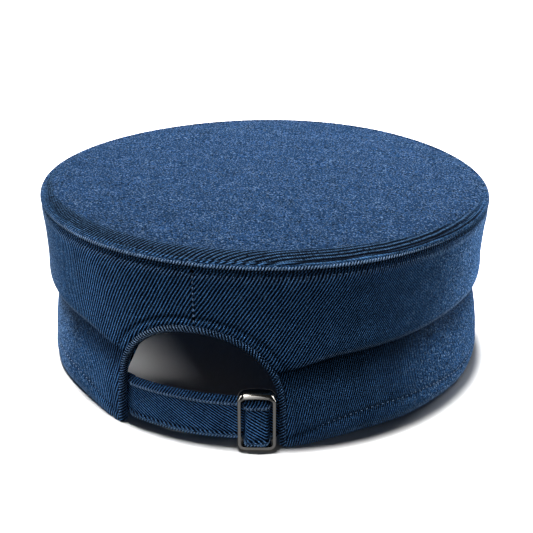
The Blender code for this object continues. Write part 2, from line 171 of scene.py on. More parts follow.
def hex_colour(code: str, factor: float = 1.0) -> tuple[float, float, float, float]:
    """Turn an sRGB hex colour into linear red, green, blue and alpha.

    Args:
        code: Six hex digits.
        factor: Share by which the linear colour is made lighter or darker.

    Returns:
        Linear colour with an alpha of 1.
    """
    parts = (int(code[place:place + 2], 16) / 255.0 for place in (0, 2, 4))
    red, green, blue = (part / 12.92 if part <= 0.04045 else ((part + 0.055) / 1.055) ** 2.4 for part in parts)
    return red * factor, green * factor, blue * factor, 1.0


def fill_inputs(node: bpy.types.Node, inputs: dict) -> None:
    """Give a node's inputs their values, or link them to output sockets.

    Args:
        node: The node.
        inputs: Input name or number to a value or an output socket.
    """
    for name, value in inputs.items():
        if isinstance(value, bpy.types.NodeSocket):
            node.id_data.links.new(value, node.inputs[name])
        else:
            node.inputs[name].default_value = value


def add_node(tree: bpy.types.NodeTree, kind: str, inputs: dict | None = None, output: int | str = 0,
             **settings: object) -> bpy.types.NodeSocket:
    """Add one shader node with its settings, values and links.

    Args:
        tree: Node tree that gets the node.
        kind: Blender's name of the node type, after ShaderNode.
        inputs: Input name or number to a value or an output socket.
        output: Number or name of the output that is wanted.
        **settings: Properties of the node itself.

    Returns:
        The wanted output.
    """
    made = tree.nodes.new("ShaderNode" + kind)
    for name, value in settings.items():
        setattr(made, name, value)
    fill_inputs(made, inputs or {})
    return made.outputs[output]


def add_object(name: str, data: bpy.types.ID) -> bpy.types.Object:
    """Put an object into the scene, at the origin.

    Args:
        name: Its name.
        data: Its mesh, lamp or camera.

    Returns:
        The new object.
    """
    made = bpy.data.objects.new(name, data)
    bpy.context.scene.collection.objects.link(made)
    return made


# Band from the hem up: share of the height, share of the step in behind the side's fold.
BAND_SETS = ((0.0, 0.0), (0.2, 0.05), (0.4, 0.22), (0.58, 0.46), (0.74, 0.70), (0.87, 0.90), (1.0, 1.0))
# Hem's turn-up: degrees from the centre back, height of its topstitching over the edge in mm.
HEM_TURNS = ((0.0, 3.4), (20.0, 3.5), (32.0, 6.9), (44.0, 8.2), (56.0, 7.6), (66.0, 6.2), (80.0, 4.8),
             (110.0, 6.0), (180.0, 6.0))
# Side from the fold up: share of the height, share of the curl inwards.
SIDE_CURLS = ((0.0, 1.0), (0.02, 0.58), (0.07, 0.32), (0.16, 0.24), (0.34, 0.32), (0.70, 0.18), (1.0, 0.0))
# Side from the rim down inside: share of the height, share of the thickening at the fold.
SIDE_THICKS = ((1.0, 0.0), (0.60, 0.30), (0.28, 0.45), (0.16, 1.0), (0.0, 1.0))
# Strap from its lower edge up: share of the height, share of the thickness.
STRAP_THICKS = ((0.0, 0.50), (0.05, 1.0), (0.15, 1.0), (0.21, 0.75), (0.79, 0.75), (0.85, 1.0), (0.95, 1.0),
                (1.0, 0.50))
# Rim: degrees from the centre back (towards the wearer's left), width of the ribbed zone in mm.
RIM_ZONES = ((-180.0, 1.0), (-110.0, 1.0), (-75.0, 2.5), (-55.0, 5.5), (-35.0, 8.5), (-15.0, 10.0), (0.0, 9.0),
             (25.0, 7.5), (40.0, 6.0), (60.0, 3.0), (110.0, 1.0), (180.0, 1.0))
# Side: degrees from the centre back, millimetres by which the ribs bend close under the rim.
RIM_BENDS = ((-180.0, 0.0), (-90.0, 0.0), (-40.0, -1.5), (-25.0, -1.2), (-8.0, 0.0), (8.0, 0.8), (20.0, 1.8),
             (45.0, 1.8), (90.0, 0.0), (180.0, 0.0))


@dataclass(frozen=True)
class CapForm:
    """Sizes and curves of the cap's walls, in its own frame, and how it leans on the table.

    Angles turn from the centre back towards +X, and heights count from the hem level. Turns are in degrees.
    Pairs are for the wearer's left and right.
    """

    hem_width: float = 0.1814
    hem_length: float = 0.1954
    rim_width: float = 0.1844
    rim_length: float = 0.1880
    rim_set_back: float = 0.0010
    hem_taper: float = 0.12
    rim_taper: float = 0.06
    taper_start: float = math.radians(75.0)
    back_height: float = 0.0731
    front_height: float = 0.0597
    hem_sag: float = 0.0024
    sag_turns: tuple[float, ...] = (52.0, 80.0, 102.0, 126.0)
    hem_pinch: float = 0.0012
    pinch_place: float = math.radians(38.0)
    pinch_reach: float = math.radians(16.0)
    seam_gap: float = 0.0003
    side_wall: float = 0.0022
    side_ripple: Row = (0.030, 0.0005)
    band_wall: float = 0.0020
    band_height: float = 0.0335
    band_ripple: Row = (0.026, 0.0004)
    band_notch: float = 0.0013
    fold_full_depth: float = 0.0042
    fold_roll: float = 0.0028
    fold_dip: float = 0.0035
    fold_dip_reach: float = math.radians(16.0)
    arch_half_width: float = 0.0302
    arch_height: float = 0.0448
    arch_leg: float = 0.0140
    arch_squareness: float = 2.15
    arch_stitch_line: float = 0.0030
    leg_flare: float = 0.0010
    leg_flare_reach: float = math.radians(12.0)
    binding_width: float = 0.0030
    binding_depth: float = 0.0034
    welt_height: float = 0.0040
    welt_depth: float = 0.0036
    welt_proud: float = 0.0002
    smooth_starts: Row = (50.0, 72.0)
    smooth_span: float = 24.0
    lean: float = math.radians(2.443338)
    stand_place: tuple[float, float, float] = (0.0, 0.0228587, 0.0039737)

    def place(self, point: Vector) -> Vector:
        """Take a point of the cap's own frame to the table's frame."""
        return Matrix.Rotation(-self.lean, 3, "X") @ point + Vector(self.stand_place)

    def crown_height(self, lengthwise: float) -> float:
        """Height of the rim's top, for -1 at the front to 1 at the back."""
        return mix(self.front_height, self.back_height, 0.5 + 0.5 * lengthwise)

    def half_width(self, height: float) -> float:
        """Half the outer width at a height."""
        return mix(self.hem_width, self.rim_width, height / self.crown_height(0.0)) / 2.0

    def from_back(self, angle: float) -> float:
        """Unsigned angle from the centre back, at most half a turn."""
        return abs((angle + math.pi) % (2.0 * math.pi) - math.pi)

    def degrees_back(self, angle: float) -> float:
        """Unsigned degrees from the centre back, at most 180."""
        return math.degrees(self.from_back(angle))

    def wall_point(self, angle: float, height: float, out: float) -> Vector:
        """Find a point on or beside the wall's outer face.

        Args:
            angle: Turn from the centre back.
            height: Height over the hem level.
            out: Distance outwards from the plain outer face.

        Returns:
            The point in the cap's own frame.
        """
        rise = height / self.crown_height(0.0)
        front = ease((self.from_back(angle) - self.taper_start) / (math.pi - self.taper_start))
        taper = 1.0 - mix(self.hem_taper, self.rim_taper, rise) * front
        half_length = mix(self.hem_length, self.rim_length, rise) / 2.0
        set_back = self.rim_set_back * clamp(height / self.band_height)
        across = (self.half_width(height) + out) * math.sin(angle) * taper
        return Vector((across, set_back + (half_length + out) * math.cos(angle), height))

    def wall_angle(self, across: float, height: float) -> float:
        """Angle from the centre back at which the wall stands at a given x."""
        return math.asin(max(min(across / self.half_width(height), 1.0), -1.0))

    def arch_half(self, height: float, margin: float) -> float:
        """Measure the arch.

        Args:
            height: Height over the hem level.
            margin: Distance by which the outline is grown.

        Returns:
            Half the width there.
        """
        share = clamp((height - self.arch_leg) / (self.arch_height - self.arch_leg + margin))
        power = self.arch_squareness
        return (self.arch_half_width + margin) * (1.0 - share ** power) ** (1.0 / power)

    def arch_round_point(self, share: float, margin: float) -> Row:
        """Find a point on the arch's round.

        Args:
            share: Share of the way from -X over the top to +X.
            margin: Distance by which the outline is grown.

        Returns:
            Its x and height.
        """
        across = -math.cos(math.pi * share)
        power = 2.0 / self.arch_squareness
        reach = (self.arch_half_width + margin) * math.copysign(abs(across) ** power, across)
        rise = max(math.sin(math.pi * share), 0.0) ** power
        return reach, self.arch_leg + (self.arch_height - self.arch_leg + margin) * rise

    def arch_edge_angle(self, height: float) -> float:
        """Angle from the centre back of the binding's outer edge at a height."""
        return self.wall_angle(self.arch_half(height, self.binding_width + self.seam_gap), height)

    def cut_edge_angle(self, height: float) -> float:
        """Angle from the centre back of the walls' cut edge, under the middle of the binding."""
        return self.wall_angle(self.arch_half(height, self.binding_width / 2.0), height)

    def beyond_binding(self, angle: float, height: float) -> float:
        """Distance of a place on the wall outside the arch's binding.

        Args:
            angle: Turn from the centre back.
            height: Height over the hem level.

        Returns:
            The distance, or one that is too large to matter.
        """
        across = abs(self.wall_point(angle, height, 0.0).x)
        low, high = -0.010, 0.030
        if math.cos(angle) < 0.2 or across > 0.060 or height > 0.068:
            return high
        if height <= self.arch_leg:
            return across - self.arch_half_width - self.binding_width
        for _ in range(14):
            margin = (low + high) / 2.0
            outside = across > self.arch_half(height, margin) or height > self.arch_height + margin
            low, high = (margin, high) if outside else (low, margin)
        return low - self.binding_width

    def arch_groove(self, beyond: float, depth: float) -> float:
        """Depth of the stitched groove beside the binding, with the swell between the two."""
        return depth * hump(beyond - self.arch_stitch_line, 0.00065) - 0.00030 * hump(beyond - 0.0010, 0.0011)

    def hem_shape(self, angle: float, height: float) -> float:
        """Shape the wall near the hem: out at the legs, in just beside them.

        Args:
            angle: Turn from the centre back.
            height: Height over the hem level.

        Returns:
            Outward shift there.
        """
        beside = self.from_back(angle) - self.arch_edge_angle(0.0)
        flare = self.leg_flare * (1.0 - ease(beside / self.leg_flare_reach))
        near = 1.0 - ease(abs(self.from_back(angle) - self.pinch_place) / self.pinch_reach)
        return (flare - self.hem_pinch * near) * (1.0 - ease(height / self.band_height))

    def hem_height(self, angle: float) -> float:
        """Find the hem, which sags at the sides.

        Args:
            angle: Turn from the centre back.

        Returns:
            Its height.
        """
        start, full, fade, end = self.sag_turns
        turn = self.degrees_back(angle)
        return -self.hem_sag * ease((turn - start) / (full - start)) * (1.0 - ease((turn - fade) / (end - fade)))

    def hem_turn(self, angle: float) -> float:
        """Height of the hem's topstitched turn-up over its edge."""
        return spline_value(HEM_TURNS, self.degrees_back(angle)) / MM

    def away_from_arch(self, angle: float) -> float:
        """0 beside the arch, growing to 1 where the fold has its full size."""
        return ease((self.from_back(angle) - self.arch_edge_angle(self.band_height)) / self.fold_dip_reach)

    def fold_height(self, angle: float) -> float:
        """Height of the side's lower edge, which dips towards the arch."""
        return self.band_height - self.fold_dip * (1.0 - self.away_from_arch(angle))

    def fold_depth(self, angle: float) -> float:
        """How far the band's upper edge lies inside the side's outer face."""
        return mix(self.side_wall + self.seam_gap, self.fold_full_depth, self.away_from_arch(angle))

    def fold_curl(self, angle: float) -> float:
        """How far the side's lower edge curls in."""
        return self.fold_roll * mix(0.4, 1.0, self.away_from_arch(angle))

    def side_top(self, angle: float) -> float:
        """Height of the side's upper edge, under the welt."""
        return self.crown_height(math.cos(angle)) - self.welt_height

    def band_out(self, angle: float, height: float) -> float:
        """Find the band's outer face, which has a notch under the fold at the flanks.

        Args:
            angle: Turn from the centre back.
            height: Height over the hem level.

        Returns:
            Its outward place.
        """
        share, turn = clamp(height / self.band_height), self.degrees_back(angle)
        beside = ease((turn - 50.0) / 25.0) * (1.0 - ease((turn - 110.0) / 25.0))
        return (self.hem_shape(angle, height) - self.fold_depth(angle) * spline_value(BAND_SETS, share)
                - self.band_notch * hump(share - 0.92, 0.22) * beside)

    def side_out(self, angle: float, height: float) -> float:
        """Outward place of the side's outer face."""
        low, high = self.fold_height(angle), self.side_top(angle) - self.seam_gap
        return -self.fold_curl(angle) * spline_value(SIDE_CURLS, (height - low) / (high - low))

    def rim_smooth(self, angle: float) -> float:
        """0 where the rim's welt stands up, 1 on the far side, where the panel runs on over it."""
        start = self.smooth_starts[0 if angle < math.pi else 1]
        return ease((self.degrees_back(angle) - start) / self.smooth_span)

    def flank(self, angle: float, left: float, right: float, span: float) -> float:
        """Tell how far a flank is rubbed smooth and painted lighter.

        Args:
            angle: Turn from the centre back.
            left: Degrees from the centre back where it starts on the wearer's left.
            right: The same on the wearer's right.
            span: Degrees over which it grows.

        Returns:
            0 at the back and the front, 1 on the flank.
        """
        turn = self.degrees_back(angle)
        start = right if angle > math.pi else left
        return ease((turn - start) / span) * (1.0 - ease((turn - 130.0) / 30.0))


@dataclass(frozen=True)
class RibCourse:
    """Run of the twill ribs round the cap: their angle to the wall's length and how close they lie."""

    start: float
    leans: Sequence[Row]
    closes: Sequence[Row]
    across: Sequence[float]
    along: Sequence[float]

    @classmethod
    def measure(cls, form: CapForm, leans: Sequence[Row], closes: Sequence[Row]) -> "RibCourse":
        """Add up the ribs round the cap for one whole turn.

        Args:
            form: Shape of the cap.
            leans: Degrees from the centre back and the ribs' angle there; the count starts at the first row.
            closes: Degrees from the centre back and how many times closer the ribs lie there.

        Returns:
            The filled course.
        """
        start, steps = math.radians(leans[0][0]), 720
        across, along = [0.0], [0.0]
        for step in range(steps):
            first, last = (start + 2.0 * math.pi * (step + more) / steps for more in (0, 1))
            span = (form.wall_point(last, 0.030, 0.0) - form.wall_point(first, 0.030, 0.0)).length * MM
            place = math.degrees((first + last) / 2.0)
            lean = math.radians(spline_value(leans, place))
            across.append(across[-1] + span * math.sin(lean) * spline_value(closes, place))
            along.append(along[-1] + span * math.cos(lean))
        return cls(start, leans, closes, across, along)

    def at(self, angle: float, rise: float) -> Row:
        """Read the weave at a place.

        Args:
            angle: Turn from the centre back.
            rise: Distance up the cloth from the counted line.

        Returns:
            Millimetres across the ribs and millimetres along them.
        """
        if angle > self.start + 2.0 * math.pi + 1e-6:
            angle -= 2.0 * math.pi
        place = (angle - self.start) / (2.0 * math.pi) * (len(self.across) - 1)
        low = min(max(int(place), 0), len(self.across) - 2)
        lean = math.radians(spline_value(self.leans, math.degrees(angle)))
        across, along = (mix(count[low], count[low + 1], place - low) for count in (self.across, self.along))
        return (across + rise * MM * math.cos(lean) * spline_value(self.closes, math.degrees(angle)),
                rise * MM * math.sin(lean) - along)


FORM = CapForm()
RIM_COURSE = RibCourse.measure(
    FORM, ((-180.0, 0.0), (-60.0, 0.0), (-30.0, 0.0), (-23.0, 7.0), (-12.0, 30.0), (-1.0, 58.0), (11.0, 72.0),
           (25.0, 86.0), (45.0, 86.0), (180.0, 86.0)),
    ((-180.0, 0.80), (-12.0, 0.75), (-1.0, 0.85), (11.0, 0.95), (25.0, 1.02), (180.0, 1.02)))
WELT_COURSE = RibCourse.measure(FORM, ((-180.0, 60.0), (180.0, 60.0)), ((-180.0, 1.0), (180.0, 1.0)))
SIDE_COURSE = RibCourse.measure(
    FORM, ((0.0, 61.0), (12.0, 62.0), (25.0, 66.0), (45.0, 70.0), (90.0, 70.0), (180.0, 65.0), (270.0, 57.0),
           (342.0, 57.0), (360.0, 57.5)),
    ((0.0, 0.97), (45.0, 1.0), (180.0, 1.0), (270.0, 1.2), (315.0, 1.42), (325.0, 1.30), (333.0, 1.12),
     (342.0, 1.0), (360.0, 1.0)))
BAND_COURSE = RibCourse.measure(
    FORM, ((0.0, 73.0), (60.0, 74.0), (180.0, 72.0), (300.0, 74.0), (360.0, 75.0)),
    ((0.0, 1.0), (60.0, 1.0), (180.0, 1.0), (300.0, 1.2), (330.0, 1.31), (360.0, 1.31)))


class Way(Enum):
    """Direction in which twill ribs climb, seen from outside with +X to the left."""

    RISING_RIGHT = 1.0
    FALLING_RIGHT = -1.0


def twill(along_wall: float, height: float, degrees: float, way: Way) -> Row:
    """Turn a place on flat cloth into distances across and along its ribs.

    Args:
        along_wall: Distance along the cloth towards +X.
        height: Distance up the cloth.
        degrees: Angle of the ribs to the horizontal.
        way: Direction in which the ribs climb.

    Returns:
        Millimetres across the ribs and millimetres along them.
    """
    turn = math.radians(degrees)
    u, v = along_wall * MM * way.value, height * MM
    return u * math.sin(turn) + v * math.cos(turn), v * math.sin(turn) - u * math.cos(turn)


@dataclass(frozen=True)
class Finish:
    """A material that is made the first time it is asked for."""

    name: str

    def material(self) -> bpy.types.Material:
        """Make the material, unless it is there already.

        Returns:
            The one material of this name.
        """
        made = bpy.data.materials.get(self.name)
        if not made:
            made = bpy.data.materials.new(self.name)
            made.use_nodes = True
            self.dress(partial(add_node, made.node_tree), made.node_tree.nodes["Principled BSDF"])
        return made

    def dress(self, node: Callable, shader: bpy.types.Node) -> None:
        """Fill the new material's node tree.

        Args:
            node: Adds a node to the tree, as add_node does.
            shader: Principled shader of the tree.
        """
        raise NotImplementedError


@dataclass(frozen=True)
class DenimFinish(Finish):
    """Cotton denim, woven as a twill and garment-washed: rough, with pale ribs over dark gaps."""

    rib_hex: str
    gap_hex: str
    washed_hex: str
    fleck_hex: str
    rib_pitch_mm: float
    rib_height_mm: float
    worn_and_highlight_hex: str = "A6C0DE"
    thread_pitch_mm: float = 0.85
    grain_mm: float = 0.75
    blotch_mm: float = 7.0
    rib_share: float = 0.42
    fleck_share: float = 0.6
    grain_contrast: float = 0.9
    blotch_contrast: float = 0.24
    bead_contrast: float = 0.45
    step_contrast: float = 0.18
    roughness: float = 0.95
    sheen: float = 0.06
    sheen_hex: str = "7FA6DA"

    def dress(self, node: Callable, shader: bpy.types.Node) -> None:
        """Draw ribs from the weave map, with a fine grain, rubbed pale threads and painted light.

        Args:
            node: Adds a node to the tree, as add_node does.
            shader: Principled shader of the tree.
        """
        times, plus = {"operation": "MULTIPLY"}, {"operation": "MULTIPLY_ADD"}
        blend = {"output": "Result", "data_type": "RGBA"}
        weave = node("UVMap", uv_map="weave")
        place = node("TexCoord", output="Object")
        ribs, tone, wear_and_highlight = (node("Attribute", output="Fac", attribute_name=name) for name in ("ribs", "tone", "wear_and_highlight"))
        # The ribs waver by a few tenths of a millimetre, as pulled cloth does.
        waver = node("TexNoise", {"Vector": weave, "Scale": 0.09, "Detail": 2.0}, "Color")
        bent = node("VectorMath", {0: waver, 1: (0.9, 0.9, 0.0), 2: weave}, **plus)
        across = node("SeparateXYZ", {"Vector": bent})
        along = across.node.outputs["Y"]
        turns = node("Math", {0: across, 1: 2.0 * math.pi / self.rib_pitch_mm}, **times)
        wave = node("Math", {0: turns}, operation="SINE")
        edge = 1.0 - 2.0 * self.rib_share
        rib = node("MapRange", {"Value": wave, "From Min": edge - 0.6, "From Max": edge + 0.7},
                   interpolation_type="SMOOTHSTEP")
        # Along each rib the warp threads come up one by one, as small beads that step from rib to rib.
        size = (1.0 / self.rib_pitch_mm, 1.0 / self.thread_pitch_mm, 1.0)
        bead = node("Mapping", {"Vector": bent, "Scale": size})
        bead = node("TexNoise", {"Vector": bead, "Scale": 1.1, "Detail": 1.0, "Roughness": 0.6})
        bead = node("MapRange", {"Value": bead, "From Min": 0.30, "From Max": 0.70, "To Min": 1.0 - self.bead_contrast,
                                 "To Max": 1.0 + self.bead_contrast}, clamp=False)
        steps = node("Math", {0: along, 1: 2.0 * math.pi / self.thread_pitch_mm, 2: turns}, **plus)
        steps = node("Math", {0: steps}, operation="SINE")
        steps = node("Math", {0: steps, 1: self.step_contrast, 2: 1.0}, **plus)
        bead = node("Math", {0: bead, 1: steps}, **times)
        thread = node("Math", {0: rib, 1: bead}, **times)
        # Grain of the yarn, scattered pale flecks and soft blotches of the wash.
        grain = node("TexNoise", {"Vector": place, "Scale": MM / self.grain_mm, "Detail": 1.5, "Roughness": 0.6})
        grain = node("MapRange", {"Value": grain, "From Min": 0.36, "From Max": 0.64})
        blotch = node("TexNoise", {"Vector": place, "Scale": MM / self.blotch_mm, "Detail": 4.0, "Roughness": 0.7})
        blotch = node("MapRange", {"Value": blotch, "From Min": 0.3, "From Max": 0.7,
                                   "To Min": 1.0 - self.blotch_contrast, "To Max": 1.0 + self.blotch_contrast})
        fleck = node("TexNoise", {"Vector": place, "Scale": MM / (0.85 * self.grain_mm), "Detail": 0.0})
        fleck = node("MapRange", {"Value": fleck, "From Min": 0.60, "From Max": 0.74, "To Max": self.fleck_share})
        fleck = node("Math", {0: fleck, 1: node("Math", {0: ribs, 1: -0.85, 2: 1.0}, **plus)}, **times)
        ribbed = node("Mix", {"Factor": thread, "A": hex_colour(self.gap_hex), "B": hex_colour(self.rib_hex)},
                      clamp_factor=False, **blend)
        plain = node("Mix", {"Factor": grain, "A": hex_colour(self.washed_hex, 1.0 - self.grain_contrast),
                             "B": hex_colour(self.washed_hex, 1.0 + self.grain_contrast)}, **blend)
        both = node("Mix", {"Factor": ribs, "A": plain, "B": ribbed}, **blend)
        dusted = node("Mix", {"Factor": fleck, "A": both, "B": hex_colour(self.fleck_hex)}, **blend)
        # The tone attribute scales the colour: besides the cloth's own lighter and darker places it carries painted
        # shade and painted highlights.
        lit = node("Math", {0: blotch, 1: tone}, **times)
        coloured = node("VectorMath", {0: dusted, "Scale": lit}, operation="SCALE")
        # Where the cloth is rubbed, the raised threads show their undyed core; the same pale colour also serves for
        # painted highlights.
        raised = node("Mix", {"Factor": ribs, "A": grain, "B": thread}, "Result")
        rubbed_and_lit = node("Math", {0: raised, 1: wear_and_highlight}, use_clamp=True, **times)
        shown = node("Mix", {"Factor": rubbed_and_lit, "A": coloured, "B": hex_colour(self.worn_and_highlight_hex)}, **blend)
        relief = node("Math", {0: grain, 1: 0.5, 2: node("Math", {0: thread, 1: ribs}, **times)}, **plus)
        bump = node("Bump", {"Height": relief, "Strength": 1.0, "Distance": self.rib_height_mm / MM})
        fill_inputs(shader, {"Base Color": shown, "Normal": bump, "Roughness": self.roughness,
                             "Specular IOR Level": 0.02, "Sheen Weight": self.sheen, "Sheen Roughness": 0.35,
                             "Sheen Tint": hex_colour(self.sheen_hex)})


@dataclass(frozen=True)
class ThreadFinish(Finish):
    """Polyester-cotton sewing thread in faded indigo: smooth, a little shiny, paler than the cloth."""

    base_hex: str

    def dress(self, node: Callable, shader: bpy.types.Node) -> None:
        """Draw the thread with light and dark places.

        Args:
            node: Adds a node to the tree, as add_node does.
            shader: Principled shader of the tree.
        """
        tone = node("TexNoise", {"Vector": node("TexCoord", output="Object"), "Scale": 700.0, "Detail": 1.0})
        colour = node("Mix", {"Factor": tone, "A": hex_colour(self.base_hex, 0.35),
                              "B": hex_colour(self.base_hex, 1.5)}, "Result", data_type="RGBA")
        fill_inputs(shader, {"Base Color": colour, "Roughness": 0.6})


@dataclass(frozen=True)
class BuckleFinish(Finish):
    """Zinc die-cast slide, plated in dark nickel: polished on its domed rails, satin on its flat edges."""

    base_hex: str
    roughness: float

    def dress(self, node: Callable, shader: bpy.types.Node) -> None:
        """Make the plated metal with faint rubbing marks.

        Args:
            node: Adds a node to the tree, as add_node does.
            shader: Principled shader of the tree.
        """
        rub = node("TexNoise", {"Vector": node("TexCoord", output="Object"), "Scale": 900.0, "Detail": 3.0})
        rough = node("MapRange", {"Value": rub, "From Min": 0.3, "From Max": 0.7, "To Min": self.roughness * 0.92,
                                  "To Max": self.roughness * 1.08})
        fill_inputs(shader, {"Base Color": hex_colour(self.base_hex), "Metallic": 1.0, "Roughness": rough})


@dataclass(frozen=True)
class PaperFinish(Finish):
    """White matte paper, plain or lit from behind: no shine at all."""

    base_hex: str
    glow: float = 0.0

    def dress(self, node: Callable, shader: bpy.types.Node) -> None:
        """Make the paper.

        Args:
            node: Adds a node to the tree, as add_node does.
            shader: Principled shader of the tree.
        """
        fill_inputs(shader, {"Base Color": hex_colour(self.base_hex), "Roughness": 1.0, "Specular IOR Level": 0.0,
                             "Emission Color": hex_colour("FFFFFF"), "Emission Strength": self.glow})


# Washed panel: heathered, ribs only where the cloth is pulled over the rim. Its yarn is finer than a picture
# of the whole cap can show, so its grain is drawn a little coarser.
TOP_DENIM = DenimFinish("washed_blue_denim", rib_hex="5A85B5", gap_hex="020A18", washed_hex="1C3658",
                        fleck_hex="86A4C6", rib_pitch_mm=1.5, rib_height_mm=0.25, grain_mm=0.72, rib_share=0.30,
                        bead_contrast=0.9, step_contrast=0.9, fleck_share=0.55)
# Side and band: raw indigo twill with strong ribs, rubbed pale and painted lighter on the flanks.
SIDE_DENIM = DenimFinish("indigo_twill_denim", rib_hex="5E9BE0", gap_hex="000717", washed_hex="1B3A60",
                         fleck_hex="7FA3CC", rib_pitch_mm=1.16, rib_height_mm=0.28, rib_share=0.19,
                         bead_contrast=0.42, fleck_share=0.85, grain_contrast=1.25)
# Folded and stitched edges: the same twill, pale where the fold is rubbed, with painted highlights and painted shade
# along it.
TRIM_DENIM = DenimFinish("indigo_twill_folded_edge", rib_hex="5487C0", gap_hex="000918", washed_hex="1E395C",
                         fleck_hex="8AA7C8", rib_pitch_mm=1.05, rib_height_mm=0.30, rib_share=0.32,
                         bead_contrast=0.85, step_contrast=0.5)
THREAD = ThreadFinish("indigo_sewing_thread", "82A5D0")
BUCKLE_METAL = BuckleFinish("dark_nickel_plate", "9D9993", 0.14)
BUCKLE_EDGE = BuckleFinish("satin_nickel_edge", "868583", 0.42)


class Spot(NamedTuple):
    """One place of a skin: where it is, how the weave runs there in mm, its tone, which carries painted shade and
    painted highlights, and how pale it is drawn, from wear and from painted highlights.
    """

    point: Vector
    weave: Row = (0.0, 0.0)
    ribs: float = 1.0
    tone: float = 1.0
    wear_and_highlight: float = 0.0


class Label(NamedTuple):
    """Name of a piece, its finish, its slot name and the CAD nodes that it stands for."""

    name: str
    finish: Finish
    slot: str
    nodes: tuple[str, ...] = ()


def finish_piece(label: Label, bm: bmesh.types.BMesh) -> bpy.types.Object:
    """Turn a bmesh into a piece that rides on the cap.

    Args:
        label: What the piece is.
        bm: Its mesh, in the table's frame.

    Returns:
        The new object, at the origin.
    """
    holes = [edge for edge in bm.edges if edge.is_boundary]
    if holes:
        bmesh.ops.holes_fill(bm, edges=holes, sides=0)
    bmesh.ops.recalc_face_normals(bm, faces=bm.faces)
    mesh = bpy.data.meshes.new(label.name)
    bm.to_mesh(mesh)
    bm.free()
    mesh.materials.append(label.finish.material())
    mesh.shade_smooth()
    mesh.set_sharp_from_angle(angle=SHARP_EDGE)
    piece = add_object(label.name, mesh)
    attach(piece, "root")
    if label.nodes:
        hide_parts(*label.nodes)
    LOG.info("%s: %d faces", label.name, len(mesh.polygons))
    return piece


@dataclass
class Skin:
    """Piece of the cap that is laid as a grid; each kind tells where the grid's crossings lie."""

    form: CapForm
    label: ClassVar[Label]
    columns: ClassVar[int]
    rows: ClassVar[int]

    def spot(self, along: float, across: float) -> Spot:
        """Find a crossing of the grid.

        Args:
            along: Share of the way over the columns.
            across: Share of the way over the rows.

        Returns:
            The place with its weave and wear.
        """
        raise NotImplementedError

    def sample(self, section: Sequence[Row], across: float) -> Row:
        """Point of a sampled outline at a share of the rows."""
        return section[round(across * self.rows) % self.rows]

    def skin(self) -> bmesh.types.BMesh:
        """Lay the grid over the shape and write its weave map and wear.

        Returns:
            A bmesh whose meeting edges are merged.
        """
        bm = bmesh.new()
        bmesh.ops.create_grid(bm, x_segments=self.columns, y_segments=self.rows, size=0.5)
        weave = bm.loops.layers.uv.new("weave")
        layers = {name: bm.verts.layers.float.new(name) for name in ("ribs", "tone", "wear_and_highlight")}
        spots = {vert: self.spot(vert.co.x + 0.5, vert.co.y + 0.5) for vert in bm.verts}
        for face in bm.faces:
            for loop in face.loops:
                loop[weave].uv = spots[loop.vert].weave
        for vert, here in spots.items():
            vert.co = here.point
            for name, layer in layers.items():
                vert[layer] = getattr(here, name)
        bmesh.ops.remove_doubles(bm, verts=bm.verts, dist=MERGE_DISTANCE)
        bmesh.ops.dissolve_degenerate(bm, edges=bm.edges, dist=1e-7)
        return bm

    def build(self) -> bpy.types.Object:
        """Build and dress the piece."""
        return finish_piece(self.label, self.skin())


@dataclass
class TopPanel(Skin):
    """Flat oval panel whose edge is pulled down to the welt."""

    label = Label("top_panel_cloth", TOP_DENIM, "denim_top", ("crown_top",))
    columns, rows = 480, 96
    wall: float = 0.0018
    roll_width: float = 0.0080
    roll_drop: float = 0.0014
    crowding: float = 1.35
    unevenness: Row = (0.022, 0.00022)

    def spot(self, along: float, across: float) -> Spot:
        """Find a place of the panel.

        Args:
            along: Share of the turn round the rim.
            across: Share from the middle of the upper face over the edge to the middle of the lower face.

        Returns:
            The place with its weave and wear.
        """
        form, angle, upper = self.form, 2.0 * math.pi * along, across <= 0.5
        smooth = form.rim_smooth(angle)
        share = 1.0 - (1.0 - 2.0 * (across if upper else 1.0 - across)) ** self.crowding
        edge_out = form.welt_proud - form.welt_depth * (1.0 - 0.6 * smooth) - form.seam_gap
        half_long = form.rim_length / 2.0 + edge_out
        edge = form.wall_point(angle, form.crown_height(math.cos(angle)) - form.welt_height / 2.0, edge_out)
        roll_start = 1.0 - self.roll_width / half_long
        rolled = max(share - roll_start, 0.0) / (1.0 - roll_start)
        backwards = share * (edge.y - form.rim_set_back)
        height = form.crown_height(backwards / half_long) - self.roll_drop * rolled ** 2 * (1.0 - 0.6 * smooth)
        point = Vector((share * edge.x, form.rim_set_back + backwards, height))
        inward = (1.0 - share) * Vector((edge.x, edge.y - form.rim_set_back, 0.0)).length
        if upper:
            point.z += ripple(point, self.unevenness) * (1.0 - rolled)
        else:
            point.z -= self.wall * (1.0 - 0.35 * rolled ** 6)
        degrees = math.degrees(angle) if angle <= math.pi else math.degrees(angle) - 360.0
        zone = spline_value(RIM_ZONES, degrees) / MM
        ribs = 1.0 - ease((inward - 0.80 * zone) / (0.30 * zone))
        ribs *= 1.0 - ease((abs(degrees) - 62.0) / 40.0)
        # The ribbed zone is drawn darker, with painted shade by the rim where the welt stands up; the whole panel is
        # painted darker towards the back and lighter towards the front, as painted light.
        tone = 1.0 - 0.34 * ribs - 0.10 * (1.0 - ease((inward - zone) / 0.012)) * (1.0 - smooth)
        tone *= 1.0 - 0.15 * share * math.cos(angle)
        return Spot(form.place(point), RIM_COURSE.at(angle, inward), ribs, tone)


